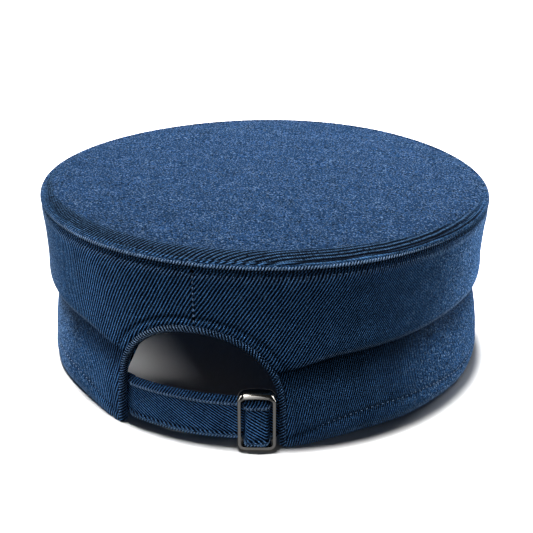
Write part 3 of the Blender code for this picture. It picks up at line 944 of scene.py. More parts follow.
@dataclass
class RimWelt(Skin):
    """Rounded ridge of folded cloth round the rim, with a stitched groove along it.

    Its section is told by a turn in degrees, from -180 on its inner side over 0, its outermost place, upwards.
    """

    label = Label("rim_welt_ridge", TRIM_DENIM, "denim_trim", ("rim_welt",))
    columns, rows = 620, 48
    girth: float = 0.0118
    squareness: float = 2.5
    groove_turn: float = -12.0
    ridge_turn: float = 41.0
    panel_turn: float = 50.0
    seam_turn: float = 120.0

    def surface(self, angle: float, degrees: float) -> Vector:
        """Find a point on the welt.

        Args:
            angle: Turn from the centre back.
            degrees: Turn of its section.

        Returns:
            The point in the cap's own frame.
        """
        form, smooth = self.form, self.form.rim_smooth(angle)
        lift, reach = math.sin(math.radians(degrees)), math.cos(math.radians(degrees))
        squared = (abs(lift) ** self.squareness + abs(reach) ** self.squareness) ** (-1.0 / self.squareness)
        dent = 0.00042 * hump(degrees - self.groove_turn, 14.0) + 0.00030 * hump(degrees - self.seam_turn, 12.0)
        dent = dent * (1.0 - smooth) + 0.00060 * smooth * ease((degrees - 55.0) / 35.0)
        return form.wall_point(
            angle, form.crown_height(math.cos(angle)) - form.welt_height / 2.0
            + (form.welt_height / 2.0 - dent) * squared * lift,
            form.welt_proud - form.welt_depth / 2.0 + (form.welt_depth / 2.0 - dent) * squared * reach)

    def spot(self, along: float, across: float) -> Spot:
        """Find a place of the welt.

        Args:
            along: Share of the turn round the rim.
            across: Share of the turn of the section.

        Returns:
            The place with its weave and wear.
        """
        form, angle, degrees = self.form, 2.0 * math.pi * along, 360.0 * across - 180.0
        smooth, left = form.rim_smooth(angle), ease((math.sin(angle) + 0.02) / 0.25)
        if degrees > self.panel_turn:
            scale = TRIM_DENIM.rib_pitch_mm / TOP_DENIM.rib_pitch_mm
            across_mm, along_mm = RIM_COURSE.at(angle, (degrees - self.seam_turn) / 360.0 * self.girth)
            weave = (across_mm * scale, along_mm * scale)
        else:
            weave = WELT_COURSE.at(angle, degrees / 360.0 * self.girth)
        # Painted light on the welt: a painted highlight along its upper ridge, wide on the wearer's left and fading on
        # the right, and painted shade in its stitched groove, on its underside and in the seam with the panel. On the
        # far side it is painted lighter all over. The pale band beside the ridge on the wearer's left is part rubbing,
        # part painted highlight.
        sharp = 1.0 if angle < math.pi else 1.0 - ease((form.degrees_back(angle) - 30.0) / 35.0)
        wide = mix(8.0, 15.0, left)
        tone = 0.60 + 0.34 * sharp * hump(degrees - self.ridge_turn, wide) - 0.10 * hump(degrees - 18.0, 10.0)
        tone -= 0.20 * hump(degrees - self.groove_turn, 16.0) + 0.10 * hump(degrees + 48.0, 20.0)
        tone -= 0.50 * hump(degrees - 119.0, 13.0) * mix(0.25, 1.0, left)
        ribs = 1.0 - 0.75 * hump(degrees - self.ridge_turn, wide + 2.0)
        wear_and_highlight = 0.10 * left * hump(degrees - 24.0, 12.0)
        return Spot(form.place(self.surface(angle, degrees)), weave, ribs * (1.0 - smooth), mix(tone, 1.15, smooth),
                    wear_and_highlight * (1.0 - smooth))


@dataclass
class SideWall(Skin):
    """Upper wall of the crown: puffed over the band as a soft fold, with one seam at the centre back.

    Its flanks are rubbed pale and painted brighter, partly as faded wash and partly as painted light. The pair is for
    the wearer's left and right.
    """

    label = Label("crown_side_cloth", SIDE_DENIM, "denim_side", ("crown_side",))
    columns, rows = 620, 84
    arched: float = 0.16
    counted_height: float = 0.050
    rim_groove: float = 0.0004
    flank_turns: tuple[float, ...] = (25.0, 42.0, 34.0)
    bright: float = 2.1
    rubbed_and_lit: Row = (0.62, 0.10)

    def column(self, share: float) -> Row:
        """Find where a column stands.

        Args:
            share: Share of the turn from the centre back.

        Returns:
            Angle and lower height of the column, which ends on the arch for the first and last shares.
        """
        form, arched = self.form, self.arched
        low, high = form.band_height - form.fold_dip, form.arch_height + form.binding_width / 2.0
        corner = form.cut_edge_angle(low)
        if arched < share < 1.0 - arched:
            angle = mix(corner, 2.0 * math.pi - corner, (share - arched) / (1.0 - 2.0 * arched))
            return angle, form.fold_height(angle)
        angle = corner * (min(share, 1.0 - share) / arched)
        for _ in range(18):
            height = (low + high) / 2.0
            low, high = (height, high) if form.cut_edge_angle(height) > angle else (low, height)
        return (angle if share <= 0.5 else 2.0 * math.pi - angle), max(low, form.fold_height(angle))

    @cached_property
    def sections(self) -> list[tuple[float, list[Row]]]:
        """Outlines of the wall.

        Returns:
            Angle and outline (out, height) of every column.
        """
        form, sections = self.form, []
        for index in range(self.columns + 1):
            angle, low = self.column(index / self.columns)
            high = form.side_top(angle) - form.seam_gap
            lap = form.fold_depth(angle) - form.seam_gap - form.side_wall
            knots = [(-form.fold_curl(angle) * tuck, mix(low, high, share)) for share, tuck in SIDE_CURLS]
            knots += [(-form.side_wall - lap * thick, mix(low, high, share)) for share, thick in SIDE_THICKS]
            sections.append((angle, round_profile(knots, self.rows)))
        return sections

    def spot(self, along: float, across: float) -> Spot:
        """Find a place of the wall.

        Args:
            along: Share of the turn from the centre back.
            across: Share of the turn round the wall's outline.

        Returns:
            The place with its weave and wear.
        """
        form = self.form
        angle, section = self.sections[round(along * self.columns)]
        out, height = self.sample(section, across)
        outer, left, turn = ease((out + 0.0022) / 0.0008), angle < math.pi, form.degrees_back(angle)
        to_seam, beyond = form.from_back(angle) * form.rim_length / 2.0, form.beyond_binding(angle, height)
        under_rim, above_fold = form.side_top(angle) - height, height - form.fold_height(angle)
        dent = 0.00048 * hump(to_seam, 0.0005) - 0.00024 * hump(to_seam - 0.0016, 0.0009)
        dent += form.arch_groove(beyond, 0.00050) + 0.00045 * hump(under_rim - self.rim_groove, 0.0009)
        out += outer * (ripple(form.wall_point(angle, height, 0.0), form.side_ripple) - dent)
        across_mm, along_mm = SIDE_COURSE.at(angle, height - self.counted_height)
        across_mm += spline_value(RIM_BENDS, turn if left else -turn) * math.exp(-max(under_rim, 0.0) / 0.004)
        flank = form.flank(angle, *self.flank_turns)
        # A pale line along the fold's lower edge: rubbed thread, made brighter still by a painted highlight in the tone
        # below.
        edge = outer * hump(above_fold - 0.0018, 0.0006) * form.away_from_arch(angle)
        # Painted shade: the seam, the arch stitching and the groove under the rim are painted darker.
        grooves = (hump(to_seam, 0.0006) + hump(beyond - form.arch_stitch_line, 0.0007)
                   + hump(under_rim - self.rim_groove, 0.0010))
        # The flanks are painted brighter: part faded wash, part painted light.
        tone = mix(1.0, self.bright, flank * ease((turn - 52.0) / 32.0)) * (1.0 - 0.55 * outer * grooves)
        # Painted shade on the lip just above the fold, where it curls under.
        tone *= 1.0 - 0.6 * outer * hump(above_fold, 0.0010)
        wear_and_highlight = 0.75 * edge + 0.20 * hump(under_rim - 0.0018, 0.0008) * outer
        wear_and_highlight += self.rubbed_and_lit[0 if left else 1] * flank * ease((turn - 40.0) / 35.0)
        # The fold's edge gets its painted highlight here, in the tone.
        return Spot(form.place(form.wall_point(angle, height, out)), (across_mm, along_mm), 1.0 - 0.75 * flank,
                    tone + 0.25 * edge, wear_and_highlight)


@dataclass
class LowerBand(Skin):
    """Band round the head: set in under the side's fold, flared at the hem, open at the back.

    Its flanks are rubbed pale and painted brighter, partly as faded wash and partly as painted light. Pairs are for the
    wearer's left and right.
    """

    label = Label("lower_band_cloth", SIDE_DENIM, "denim_side", ("band",))
    columns, rows = 600, 84
    lap: float = 0.0040
    counted_height: float = 0.016
    flank_turns: tuple[float, ...] = (20.0, 40.0, 26.0)
    bright: Row = (2.0, 1.25)
    rubbed_and_lit: Row = (0.28, 0.02)

    @cached_property
    def top(self) -> float:
        """Share of the band's height that its edge reaches behind the fold."""
        return 1.0 + self.lap / self.form.band_height

    @cached_property
    def section(self) -> list[Row]:
        """Outline of the band.

        Returns:
            Depth and height of its samples, both as shares of its height.
        """
        shares = [self.top * step / 40.0 for step in range(41)]
        wall = self.form.band_wall / self.form.band_height
        return round_profile([(0.0, share) for share in shares] + [(wall, share) for share in reversed(shares)],
                             self.rows)

    def spot(self, along: float, across: float) -> Spot:
        """Find a place of the band.

        Args:
            along: Share of the way from leg to leg, over the front.
            across: Share of the turn round the band's outline.

        Returns:
            The place with its weave and wear.
        """
        form = self.form
        depth, share = self.sample(self.section, across)
        depth *= form.band_height
        edge = form.cut_edge_angle(form.band_height * min(max(share, 0.0), self.top))
        angle = mix(edge, 2.0 * math.pi - edge, along)
        low, hem_turn = form.hem_height(angle), form.hem_turn(angle)
        height = mix(low, form.band_height, share)
        outer, above_hem = ease(1.0 - depth / form.band_wall), height - low
        side, turn, beyond = int(angle >= math.pi), form.degrees_back(angle), form.beyond_binding(angle, height)
        dent = 0.00050 * hump(above_hem - hem_turn, 0.0006) - 0.00035 * hump(above_hem - 0.5 * hem_turn, 0.0022)
        dent += form.arch_groove(beyond, 0.00022)
        lift = ripple(form.wall_point(angle, height, 0.0), form.band_ripple) - dent
        out = form.band_out(angle, height) - depth + outer * lift
        flank = form.flank(angle, *self.flank_turns)
        # The flanks are painted brighter, more on the wearer's left: part faded wash, part painted light.
        tone = mix(1.0, self.bright[side], flank * ease((turn - 38.0) / 36.0))
        # Painted shade: the hem's stitched groove and the arch stitching are painted darker, and the band is painted
        # darker towards its top, in the shade under the fold.
        tone *= 1.0 - outer * (0.55 * hump(above_hem - hem_turn, 0.0008)
                               + 0.2 * hump(beyond - form.arch_stitch_line, 0.0007))
        tone *= 1.0 - 0.62 * outer * ease((share - 0.52) / 0.34)
        wear_and_highlight = 0.30 * outer * hump(above_hem - 0.0010, 0.0009)
        wear_and_highlight += self.rubbed_and_lit[side] * flank * ease((turn - 35.0) / 35.0)
        weave = BAND_COURSE.at(angle, height - self.counted_height)
        return Spot(form.place(form.wall_point(angle, height, out)), weave, 1.0 - 0.8 * flank, tone, wear_and_highlight)


@dataclass
class ArchCord(Skin):
    """Corded binding along the arch's edge, wound with diagonal threads."""

    label = Label("arch_cord", TRIM_DENIM, "denim_trim", ("arch_binding",))
    columns, rows = 900, 24
    end_rounding: float = 0.0008
    twist_pitch: float = 0.0012
    twist_relief: float = 0.045
    girth_mm: float = 9.9
    weave_slope: Row = (0.875, 0.48)

    @cached_property
    def path(self) -> list[Vector]:
        """Middle of the cord.

        Returns:
            Points from the hem at -X to the hem at +X.
        """
        form, points = self.form, []
        flat = [form.arch_round_point(step / 400.0, form.binding_width / 2.0) for step in range(401)]
        leg = [(flat[0][0], form.arch_leg * step / 60.0) for step in range(60)]
        for x, height in leg + flat + [(-x, height) for x, height in reversed(leg)]:
            angle = form.wall_angle(x, height)
            out = mix(form.band_out(angle, height) - form.band_wall / 2.0, -form.side_wall / 2.0,
                      ease(height / form.band_height))
            points.append(form.wall_point(angle, height, out))
        return even_points(points, self.columns)

    @cached_property
    def lengths(self) -> list[float]:
        """Distance from the cord's start to each of its points."""
        return path_lengths(self.path)

    @cached_property
    def frames(self) -> list[tuple[Vector, Vector]]:
        """Directions along the cord.

        Returns:
            For each of its points the direction across it on the wall's face, and the one outwards.
        """
        frames = []
        for index, middle in enumerate(self.path):
            before, after = self.path[max(index - 2, 0)], self.path[min(index + 2, self.columns)]
            along = (after - before).normalized()
            side = along.cross(Vector((middle.x, middle.y, 0.0))).normalized()
            frames.append((side, side.cross(along).normalized()))
        return frames

    def spot(self, along: float, across: float) -> Spot:
        """Find a place of the cord.

        Args:
            along: Share of the cord's length.
            across: Share of the turn round it.

        Returns:
            The place with its weave and wear.
        """
        form, index, turn = self.form, round(along * self.columns), 2.0 * math.pi * across
        (side, outward), done = self.frames[index], self.lengths[index]
        closing = clamp(min(done, self.lengths[-1] - done) / self.end_rounding)
        twist = math.cos(2.0 * math.pi * (done / self.twist_pitch + across))
        reach = math.sqrt(closing * (2.0 - closing)) * (1.0 + self.twist_relief * twist)
        point = self.path[index] + side * (form.binding_width / 2.0 * reach * math.cos(turn))
        point = point + outward * (form.binding_depth / 2.0 * reach * math.sin(turn))
        long, short = self.weave_slope
        weave = (done * MM * long + across * self.girth_mm * short, done * MM * short - across * self.girth_mm * long)
        # Painted shade in the hollows of the twist; towards the arch's upper left the cord is drawn paler, part rubbed
        # thread and part painted highlight.
        return Spot(form.place(point), weave, 1.0, 0.85 + 0.15 * twist, mix(0.08, 0.60, hump(along - 0.63, 0.17)))


@dataclass
class BackStrap(Skin):
    """Adjusting strap with rolled edges, through the buckle and tucked behind both legs."""

    label = Label("back_strap_cloth", SIDE_DENIM, "denim_trim", ("back_strap",))
    columns, rows = 400, 72
    height: float = 0.0178
    thickness: float = 0.0024
    lift: float = 0.0015
    set_in: float = 0.0012
    tuck: float = 0.0100
    dive_share: float = 0.90
    dive_drop: float = 0.0020
    gather: float = 0.0040
    crest_low: float = 0.0053
    crest_high: float = 0.0034
    crest_rise: float = 0.0010
    fullness: float = 9.0
    unevenness: Row = (0.018, 0.00022)
    rolled_edge: float = 0.11
    closeness: float = 1.12
    buckle_offset: float = 0.0224
    buckle_width: float = 0.0141
    buckle_metal: float = 0.0013
    buckle_lift: float = 0.0005
    bar_width: float = 0.0020
    bar_depth: float = 0.0010

    def buckle_angle(self) -> float:
        """Angle of the buckle's middle, on the -X side."""
        return -self.form.wall_angle(self.buckle_offset, 0.0)

    def bulge_half_width(self) -> float:
        """Half the width of the strap's bulge in the window."""
        return self.buckle_width / 2.0 - self.buckle_metal - 2.0 * self.form.seam_gap

    def from_buckle(self, angle: float) -> float:
        """Distance along the strap from the buckle's middle."""
        return abs(angle - self.buckle_angle()) * self.form.hem_length / 2.0

    def bottom(self, angle: float) -> float:
        """Height of the strap's lower edge, drawn up inside the buckle."""
        in_window = self.buckle_lift + self.buckle_metal + 2.0 * self.form.seam_gap
        return mix(in_window, self.lift, ease((self.from_buckle(angle) - self.bulge_half_width()) / self.gather))

    def surface(self, angle: float, share: float, thick: float = 1.0) -> Vector:
        """Find a point of the strap.

        Args:
            angle: Turn from the centre back.
            share: Share of the strap's height.
            thick: Share of its thickness, 1 on the outer face.

        Returns:
            Point behind the legs, on the plain strap or on the bulge that fills the buckle's window.
        """
        form = self.form
        height = mix(self.bottom(angle), self.lift + self.height, share)
        behind_leg = form.band_out(angle, height) - (form.binding_depth + form.band_wall) / 2.0 - 2.0 * form.seam_gap
        across = form.from_back(angle) / form.wall_angle(form.arch_half_width, 0.0)
        dive = ease((across - self.dive_share) / (1.0 - self.dive_share))
        # The bulge is full from side to side, sags in its upper edge and leans over the lower rail.
        full = 1.0 - min(self.from_buckle(angle) / self.bulge_half_width(), 1.0) ** self.fullness
        out = mix(mix(-self.set_in, behind_leg, dive), mix(self.crest_low, self.crest_high, ease(share)), full)
        out -= self.thickness * (1.0 - thick)
        # Its upper edge is pushed up in the window, and drops where it dives behind a leg.
        height += (self.crest_rise * full - self.dive_drop * dive) * share
        return form.wall_point(angle, height, out + ripple(form.wall_point(angle, height, 0.0), self.unevenness))

    @cached_property
    def section(self) -> list[Row]:
        """Outline of the strap.

        Returns:
            Thickness and height of its samples, both as shares of its height.
        """
        scale = self.thickness / self.height
        knots = [(thick * scale, share) for share, thick in STRAP_THICKS]
        return round_profile(knots + [(0.0, share) for share, _ in reversed(STRAP_THICKS)], self.rows)

    def spot(self, along: float, across: float) -> Spot:
        """Find a place of the strap.

        Args:
            along: Share of the way from end to end.
            across: Share of the turn round the strap's outline.

        Returns:
            The place with its weave and wear.
        """
        form = self.form
        end = form.wall_angle(form.arch_half_width + self.tuck, 0.0)
        angle = mix(-end, end, along)
        thick, share = self.sample(self.section, across)
        edge = min(share, 1.0 - share)
        degrees, way = (55.0, Way.RISING_RIGHT) if edge < self.rolled_edge else (31.0, Way.FALLING_RIGHT)
        across_mm, along_mm = twill(angle * form.hem_length / 2.0, share * self.height, degrees, way)
        # Painted shade in the grooves beside both rolled edges and along the strap's upper edge.
        tone = (1.30 - 0.8 * hump(edge - 0.17, 0.03)) * mix(1.0, 0.55, ease((share - 0.90) / 0.04))
        return Spot(form.place(self.surface(angle, share, thick / (self.thickness / self.height))),
                    (self.closeness * across_mm, self.closeness * along_mm), 1.0, tone,
                    0.30 * hump(edge - self.rolled_edge, 0.04))


# Rails of the buckle, as shares of the metal's width and of its depth: flat in front and straight inside.
FLAT_RAIL = ((0.40, 0.0), (0.14, 0.12), (0.0, 0.38), (0.0, 0.62), (0.04, 0.86), (0.12, 0.98), (0.25, 1.0),
             (0.55, 1.0), (0.88, 1.0), (0.99, 0.96), (1.0, 0.6), (1.0, 0.2), (0.9, 0.02))
# The same for the upper rail, which is domed outside.
DOMED_RAIL = ((0.5, 0.0), (0.15, 0.08), (0.0, 0.25), (0.04, 0.42), (0.2, 0.58), (0.45, 0.74), (0.8, 0.88),
              (1.15, 0.97), (1.4, 1.0), (1.55, 0.95), (1.55, 0.6), (1.5, 0.2), (1.3, 0.02))
# Corners of the buckle in the order of its turn: signs of x and z.
CORNERS = ((1, 1), (-1, 1), (-1, -1), (1, -1))


@dataclass
class SlideBuckle(Skin):
    """Rectangular metal slide round the strap, with its middle bar behind the strap."""

    strap: BackStrap
    label = Label("slide_buckle", BUCKLE_METAL, "buckle_metal", ("buckle",))
    columns, rows = 160, 48
    height: float = 0.0230
    depth: float = 0.0046
    corner: float = 0.0027
    smallest_corner: float = 0.0005
    crown_rise: float = 0.0009
    crown_depth: float = 0.10
    bar_edge: float = 0.0003
    edge_share: float = 0.975

    @cached_property
    def stand(self) -> Matrix:
        """Frame of the buckle.

        Returns:
            Its matrix: x along the strap, y outwards, z up.
        """
        form, strap = self.form, self.strap
        foot, head, beside = (
            form.place(form.wall_point(strap.buckle_angle() + turn, strap.buckle_lift + rise,
                                       form.seam_gap - strap.set_in))
            for turn, rise in ((0.0, 0.0), (0.0, self.height), (math.radians(0.5), 0.0)))
        up = (head - foot).normalized()
        outward = up.cross(beside - foot).normalized()
        turned = Matrix((outward.cross(up), outward, up)).transposed().to_4x4()
        return Matrix.Translation((foot + head) / 2.0) @ turned

    @cached_property
    def rails(self) -> list[list[Row]]:
        """Sampled sections of the flat and of the domed rail."""
        return [round_profile(knots, self.rows) for knots in (FLAT_RAIL, DOMED_RAIL)]

    def rail_point(self, share: float, inset: float) -> Row:
        """Find a point on the buckle's rounded outline.

        Args:
            share: Share of the outline's turn.
            inset: Distance inwards from the outline.

        Returns:
            Its x and z.
        """
        radius = max(self.corner - inset, self.smallest_corner)
        width, height = self.strap.buckle_width / 2.0 - inset - radius, self.height / 2.0 - inset - radius
        corner = min(int(share * 4.0), 3)
        inside = 2.0 * (share * 4.0 - corner)
        here, following = (Vector((x * width, z * height)) for x, z in (CORNERS[corner], CORNERS[(corner + 1) % 4]))
        turn = math.pi / 2.0 * (corner + min(inside, 1.0))
        point = here.lerp(following, max(inside - 1.0, 0.0)) + radius * Vector((math.cos(turn), math.sin(turn)))
        return point.x, point.y

    def spot(self, along: float, across: float) -> Spot:
        """Find a place of the buckle.

        Args:
            along: Share of the turn round the outline.
            across: Share of the turn round the rail's section.

        Returns:
            The place.
        """
        metal = self.strap.buckle_metal
        level = self.rail_point(along, 0.5 * metal)[1]
        dome = ease((level - (self.height / 2.0 - 2.2 * metal)) / (1.4 * metal))
        flat, domed = (self.sample(rail, across) for rail in self.rails)
        inset, deep = mix(flat[0], domed[0], dome), mix(flat[1], domed[1], dome)
        x, z = self.rail_point(along, inset * metal)
        rise = dome * (1.0 - min(abs(x) / (self.strap.buckle_width / 2.0), 1.0) ** 2)
        return Spot(self.stand @ Vector((x, deep * self.depth * (1.0 + self.crown_depth * rise),
                                         z + self.crown_rise * rise)))

    def build(self) -> bpy.types.Object:
        """Build the buckle with its middle bar, and dress its front edge in satin.

        Returns:
            The new object.
        """
        strap, bm = self.strap, self.skin()
        bar = set(bmesh.ops.create_cube(bm, size=1.0)["verts"])
        size = (strap.bar_width, strap.bar_depth, self.height - strap.buckle_metal)
        bmesh.ops.scale(bm, vec=size, verts=list(bar))
        bmesh.ops.bevel(bm, geom=[edge for edge in bm.edges if edge.verts[0] in bar], offset=self.bar_edge,
                        segments=2, profile=0.5, affect="EDGES", material=-1)
        loose = [vert for vert in bm.verts if vert.co.length < self.height]
        bmesh.ops.translate(bm, vec=(0.0, 0.55 * strap.bar_depth, 0.0), verts=loose)
        bmesh.ops.transform(bm, matrix=self.stand, verts=loose)
        piece = finish_piece(self.label, bm)
        piece.data.materials.append(BUCKLE_EDGE.material())
        back_to_flat = self.stand.inverted()
        for face in piece.data.polygons:
            if (back_to_flat @ face.center).y > self.edge_share * self.depth:
                face.material_index = 1
        return piece


class Stitch(NamedTuple):
    """One stitch: its middle on the cloth, the cloth's directions there, its slant, length and thread."""

    point: Vector
    rightwards: Vector
    upwards: Vector
    slant: float
    length: float
    thread: float


class StitchRow(NamedTuple):
    """Row of even stitches on a surface, which is told by an angle and a level.

    It runs at the first of two levels, and the second shows which way is up. Slant is the angle in degrees
    by which a stitch rises to the wearer's right, and over the taper both ends sink into the cloth.
    """

    surface: Callable[[float, float], Vector]
    levels: Row
    first: float
    last: float
    pitch: float
    length: float
    thread: float
    slant: float
    taper: float = 0.001

    def stitches(self) -> list[Stitch]:
        """Lay the row.

        Returns:
            Its stitches.
        """
        line = [self.surface(mix(self.first, self.last, step / 200.0), self.levels[0]) for step in range(201)]
        count = int(path_lengths(line)[-1] / self.pitch)
        laid = []
        for index, point in enumerate(even_points(line, count)):
            place = mix(self.first, self.last, index / count)
            low, high = (self.surface(place, level) for level in self.levels)
            before, after = (self.surface(place + shift, self.levels[0]) for shift in (-1e-3, 1e-3))
            rise, step = (high - low).normalized(), (after - before).normalized()
            rightwards = step if step.x < 0.0 else -step
            if abs(step.x) < abs(step.z):
                rightwards = -(rise - step * rise.dot(step)).normalized()
            shown = mix(0.3, 1.0, ease((min(index, count - index) + 0.5) * self.pitch / self.taper))
            laid.append(Stitch(point, rightwards, rise, self.slant, self.length * shown, self.thread * shown))
        return laid


@dataclass
class Stitching:
    """Sewing thread on the outside: rows of short raised stitches along the seams and edges."""

    form: CapForm
    strap: BackStrap
    label: ClassVar[Label] = Label("sewing_stitches", THREAD, "denim_trim")
    sunk: float = 0.00030
    seam_stitches: int = 9

    def on_side(self, angle: float, height: float) -> Vector:
        """Point in a groove of the side, just under its outer face."""
        lift = ripple(self.form.wall_point(angle, height, 0.0), self.form.side_ripple)
        return self.form.wall_point(angle, height, self.form.side_out(angle, height) + lift - self.sunk)

    def under_rim(self, angle: float, level: float) -> Vector:
        """Point of the side at a level over its upper edge."""
        return self.on_side(angle, self.form.side_top(angle) + level)

    def over_hem(self, angle: float, level: float) -> Vector:
        """Find a point of the band in its hem's groove.

        Args:
            angle: Turn from the centre back.
            level: Height over the groove.

        Returns:
            The point in the cap's own frame.
        """
        form, height = self.form, self.form.hem_height(angle) + self.form.hem_turn(angle) + level
        lift = ripple(form.wall_point(angle, height, 0.0), form.band_ripple)
        return form.wall_point(angle, height, form.band_out(angle, height) + lift - self.sunk)

    def seam(self) -> list[Stitch]:
        """Lay the seam at the centre back.

        Returns:
            Its stitches, one over the other.
        """
        form, last = self.form, self.seam_stitches - 1
        low, high = form.arch_height + form.binding_width + 0.0016, form.back_height - form.welt_height - 0.0022
        return [Stitch(self.on_side(0.0, mix(low, high, index / last)), Vector((-1.0, 0.0, 0.0)),
                       Vector((0.0, 0.0, 1.0)), 80.0, 0.00120, 0.00062) for index in range(last + 1)]

    def stitches(self) -> list[Stitch]:
        """Lay every visible row.

        Returns:
            The stitches from the rim down to the hem and the strap.
        """
        form, welt, strap = self.form, RimWelt(self.form), self.strap.surface
        rim_right, rim_left, under_left, hem_end = (math.radians(turn) for turn in (-64.0, 52.0, 40.0, 96.0))
        edge = form.arch_edge_angle(0.0) + 0.045
        reach = form.wall_angle(form.arch_half_width - 0.0004, 0.0)
        rim = [
            StitchRow(welt.surface, (18.0, 26.0), rim_right, rim_left, 0.00112, 0.00165, 0.00056, 62.0, 0.045),
            StitchRow(self.under_rim, (-0.0010, -0.0004), rim_right, under_left, 0.0023, 0.00055, 0.00042, 20.0, 0.02)]
        low = [StitchRow(self.over_hem, (0.0, 0.0006), side * edge, side * hem_end, 0.0023, 0.00085, 0.00042, 8.0, 0.02)
               for side in (-1.0, 1.0)]
        low += [StitchRow(strap, (0.87, 0.885), -reach, reach, 0.00130, 0.00172, 0.00042, slant)
                for slant in (52.0, -52.0)]
        low.append(StitchRow(strap, (0.075, 0.09), -reach, reach, 0.00115, 0.00135, 0.00050, 55.0))
        return ([stitch for row in rim for stitch in row.stitches()] + self.seam()
                + [stitch for row in low for stitch in row.stitches()])

    def build(self) -> bpy.types.Object:
        """Build every stitch as a small spindle, all in one piece.

        Returns:
            The new object.
        """
        form, bm = self.form, bmesh.new()
        for stitch in self.stitches():
            turn = math.radians(stitch.slant)
            along = (stitch.rightwards * math.cos(turn) + stitch.upwards * math.sin(turn)).normalized()
            outward = stitch.rightwards.cross(stitch.upwards).normalized()
            if outward.dot(Vector((stitch.point.x, stitch.point.y, 0.0))) < 0.0:
                outward = -outward
            across = outward.cross(along).normalized()
            shape = Matrix((along * stitch.length, across * stitch.thread, outward * stitch.thread))
            bmesh.ops.create_uvsphere(bm, u_segments=6, v_segments=4, radius=0.5,
                                      matrix=Matrix.Translation(form.place(stitch.point))
                                      @ Matrix.Rotation(-form.lean, 4, "X") @ shape.transposed().to_4x4())
        return finish_piece(self.label, bm)


@dataclass
class Peak(Skin):
    """Short stiff peak under the front of the hem, sloping down to its tip."""

    label = Label("peak_board", SIDE_DENIM, "denim_side", ("peak",))
    columns, rows = 260, 96
    spread: float = math.radians(52.0)
    reach: float = 0.0480
    end_reach: float = 0.0015
    thickness: float = 0.0024
    slope: float = math.radians(8.8)
    camber: float = 0.5
    point_power: float = 1.2
    sewn_share: float = 0.04
    flatness: float = 0.05

    def edge_point(self, angle: float, share: float, sunk: float) -> Vector:
        """Find a point on the peak.

        Args:
            angle: Turn from the front.
            share: Share of the peak's reach.
            sunk: Depth under the upper face.

        Returns:
            The point in the cap's own frame.
        """
        across = angle / self.spread
        middle = max(math.cos(across * math.pi / 2.0), 0.0) ** self.point_power
        out = mix(self.end_reach, self.reach, middle) * share
        slope = math.tan(self.slope) * (1.0 + self.camber * across ** 2)
        level = self.form.wall_point(angle + math.pi, 0.0, out)
        return Vector((level.x, level.y, -self.form.seam_gap - slope * out - sunk))

    @cached_property
    def section(self) -> list[Row]:
        """Outline of the board.

        Returns:
            Share of its reach and flattened share of its thickness for each sample.
        """
        shares = (0.02, 0.2, 0.4, 0.6, 0.8, 0.96)
        knots = [(0.0, 0.15), (0.0, 0.85)] + [(share, 1.0) for share in shares] + [(0.99, 0.9), (1.0, 0.5), (0.99, 0.1)]
        knots += [(share, 0.0) for share in reversed(shares)]
        return round_profile([(share, level * self.flatness) for share, level in knots], self.rows)

    def spot(self, along: float, across: float) -> Spot:
        """Find a place of the peak.

        Args:
            along: Share of the way from end to end.
            across: Share of the turn round the board's outline.

        Returns:
            The place with its weave and wear.
        """
        share, level = self.sample(self.section, across)
        angle = mix(-self.spread, self.spread, along)
        sunk = self.thickness * (1.0 - clamp(level / self.flatness))
        if share < self.sewn_share:
            inner = self.form.wall_point(angle + math.pi, 0.0, -self.form.band_wall)
            start = self.edge_point(angle, 0.0, sunk)
            point = Vector((inner.x, inner.y, start.z)).lerp(start, max(share, 0.0) / self.sewn_share)
        else:
            point = self.edge_point(angle, (share - self.sewn_share) / (1.0 - self.sewn_share), sunk)
        return Spot(self.form.place(point), twill(point.x, point.y, 62.0, Way.RISING_RIGHT), 0.5)


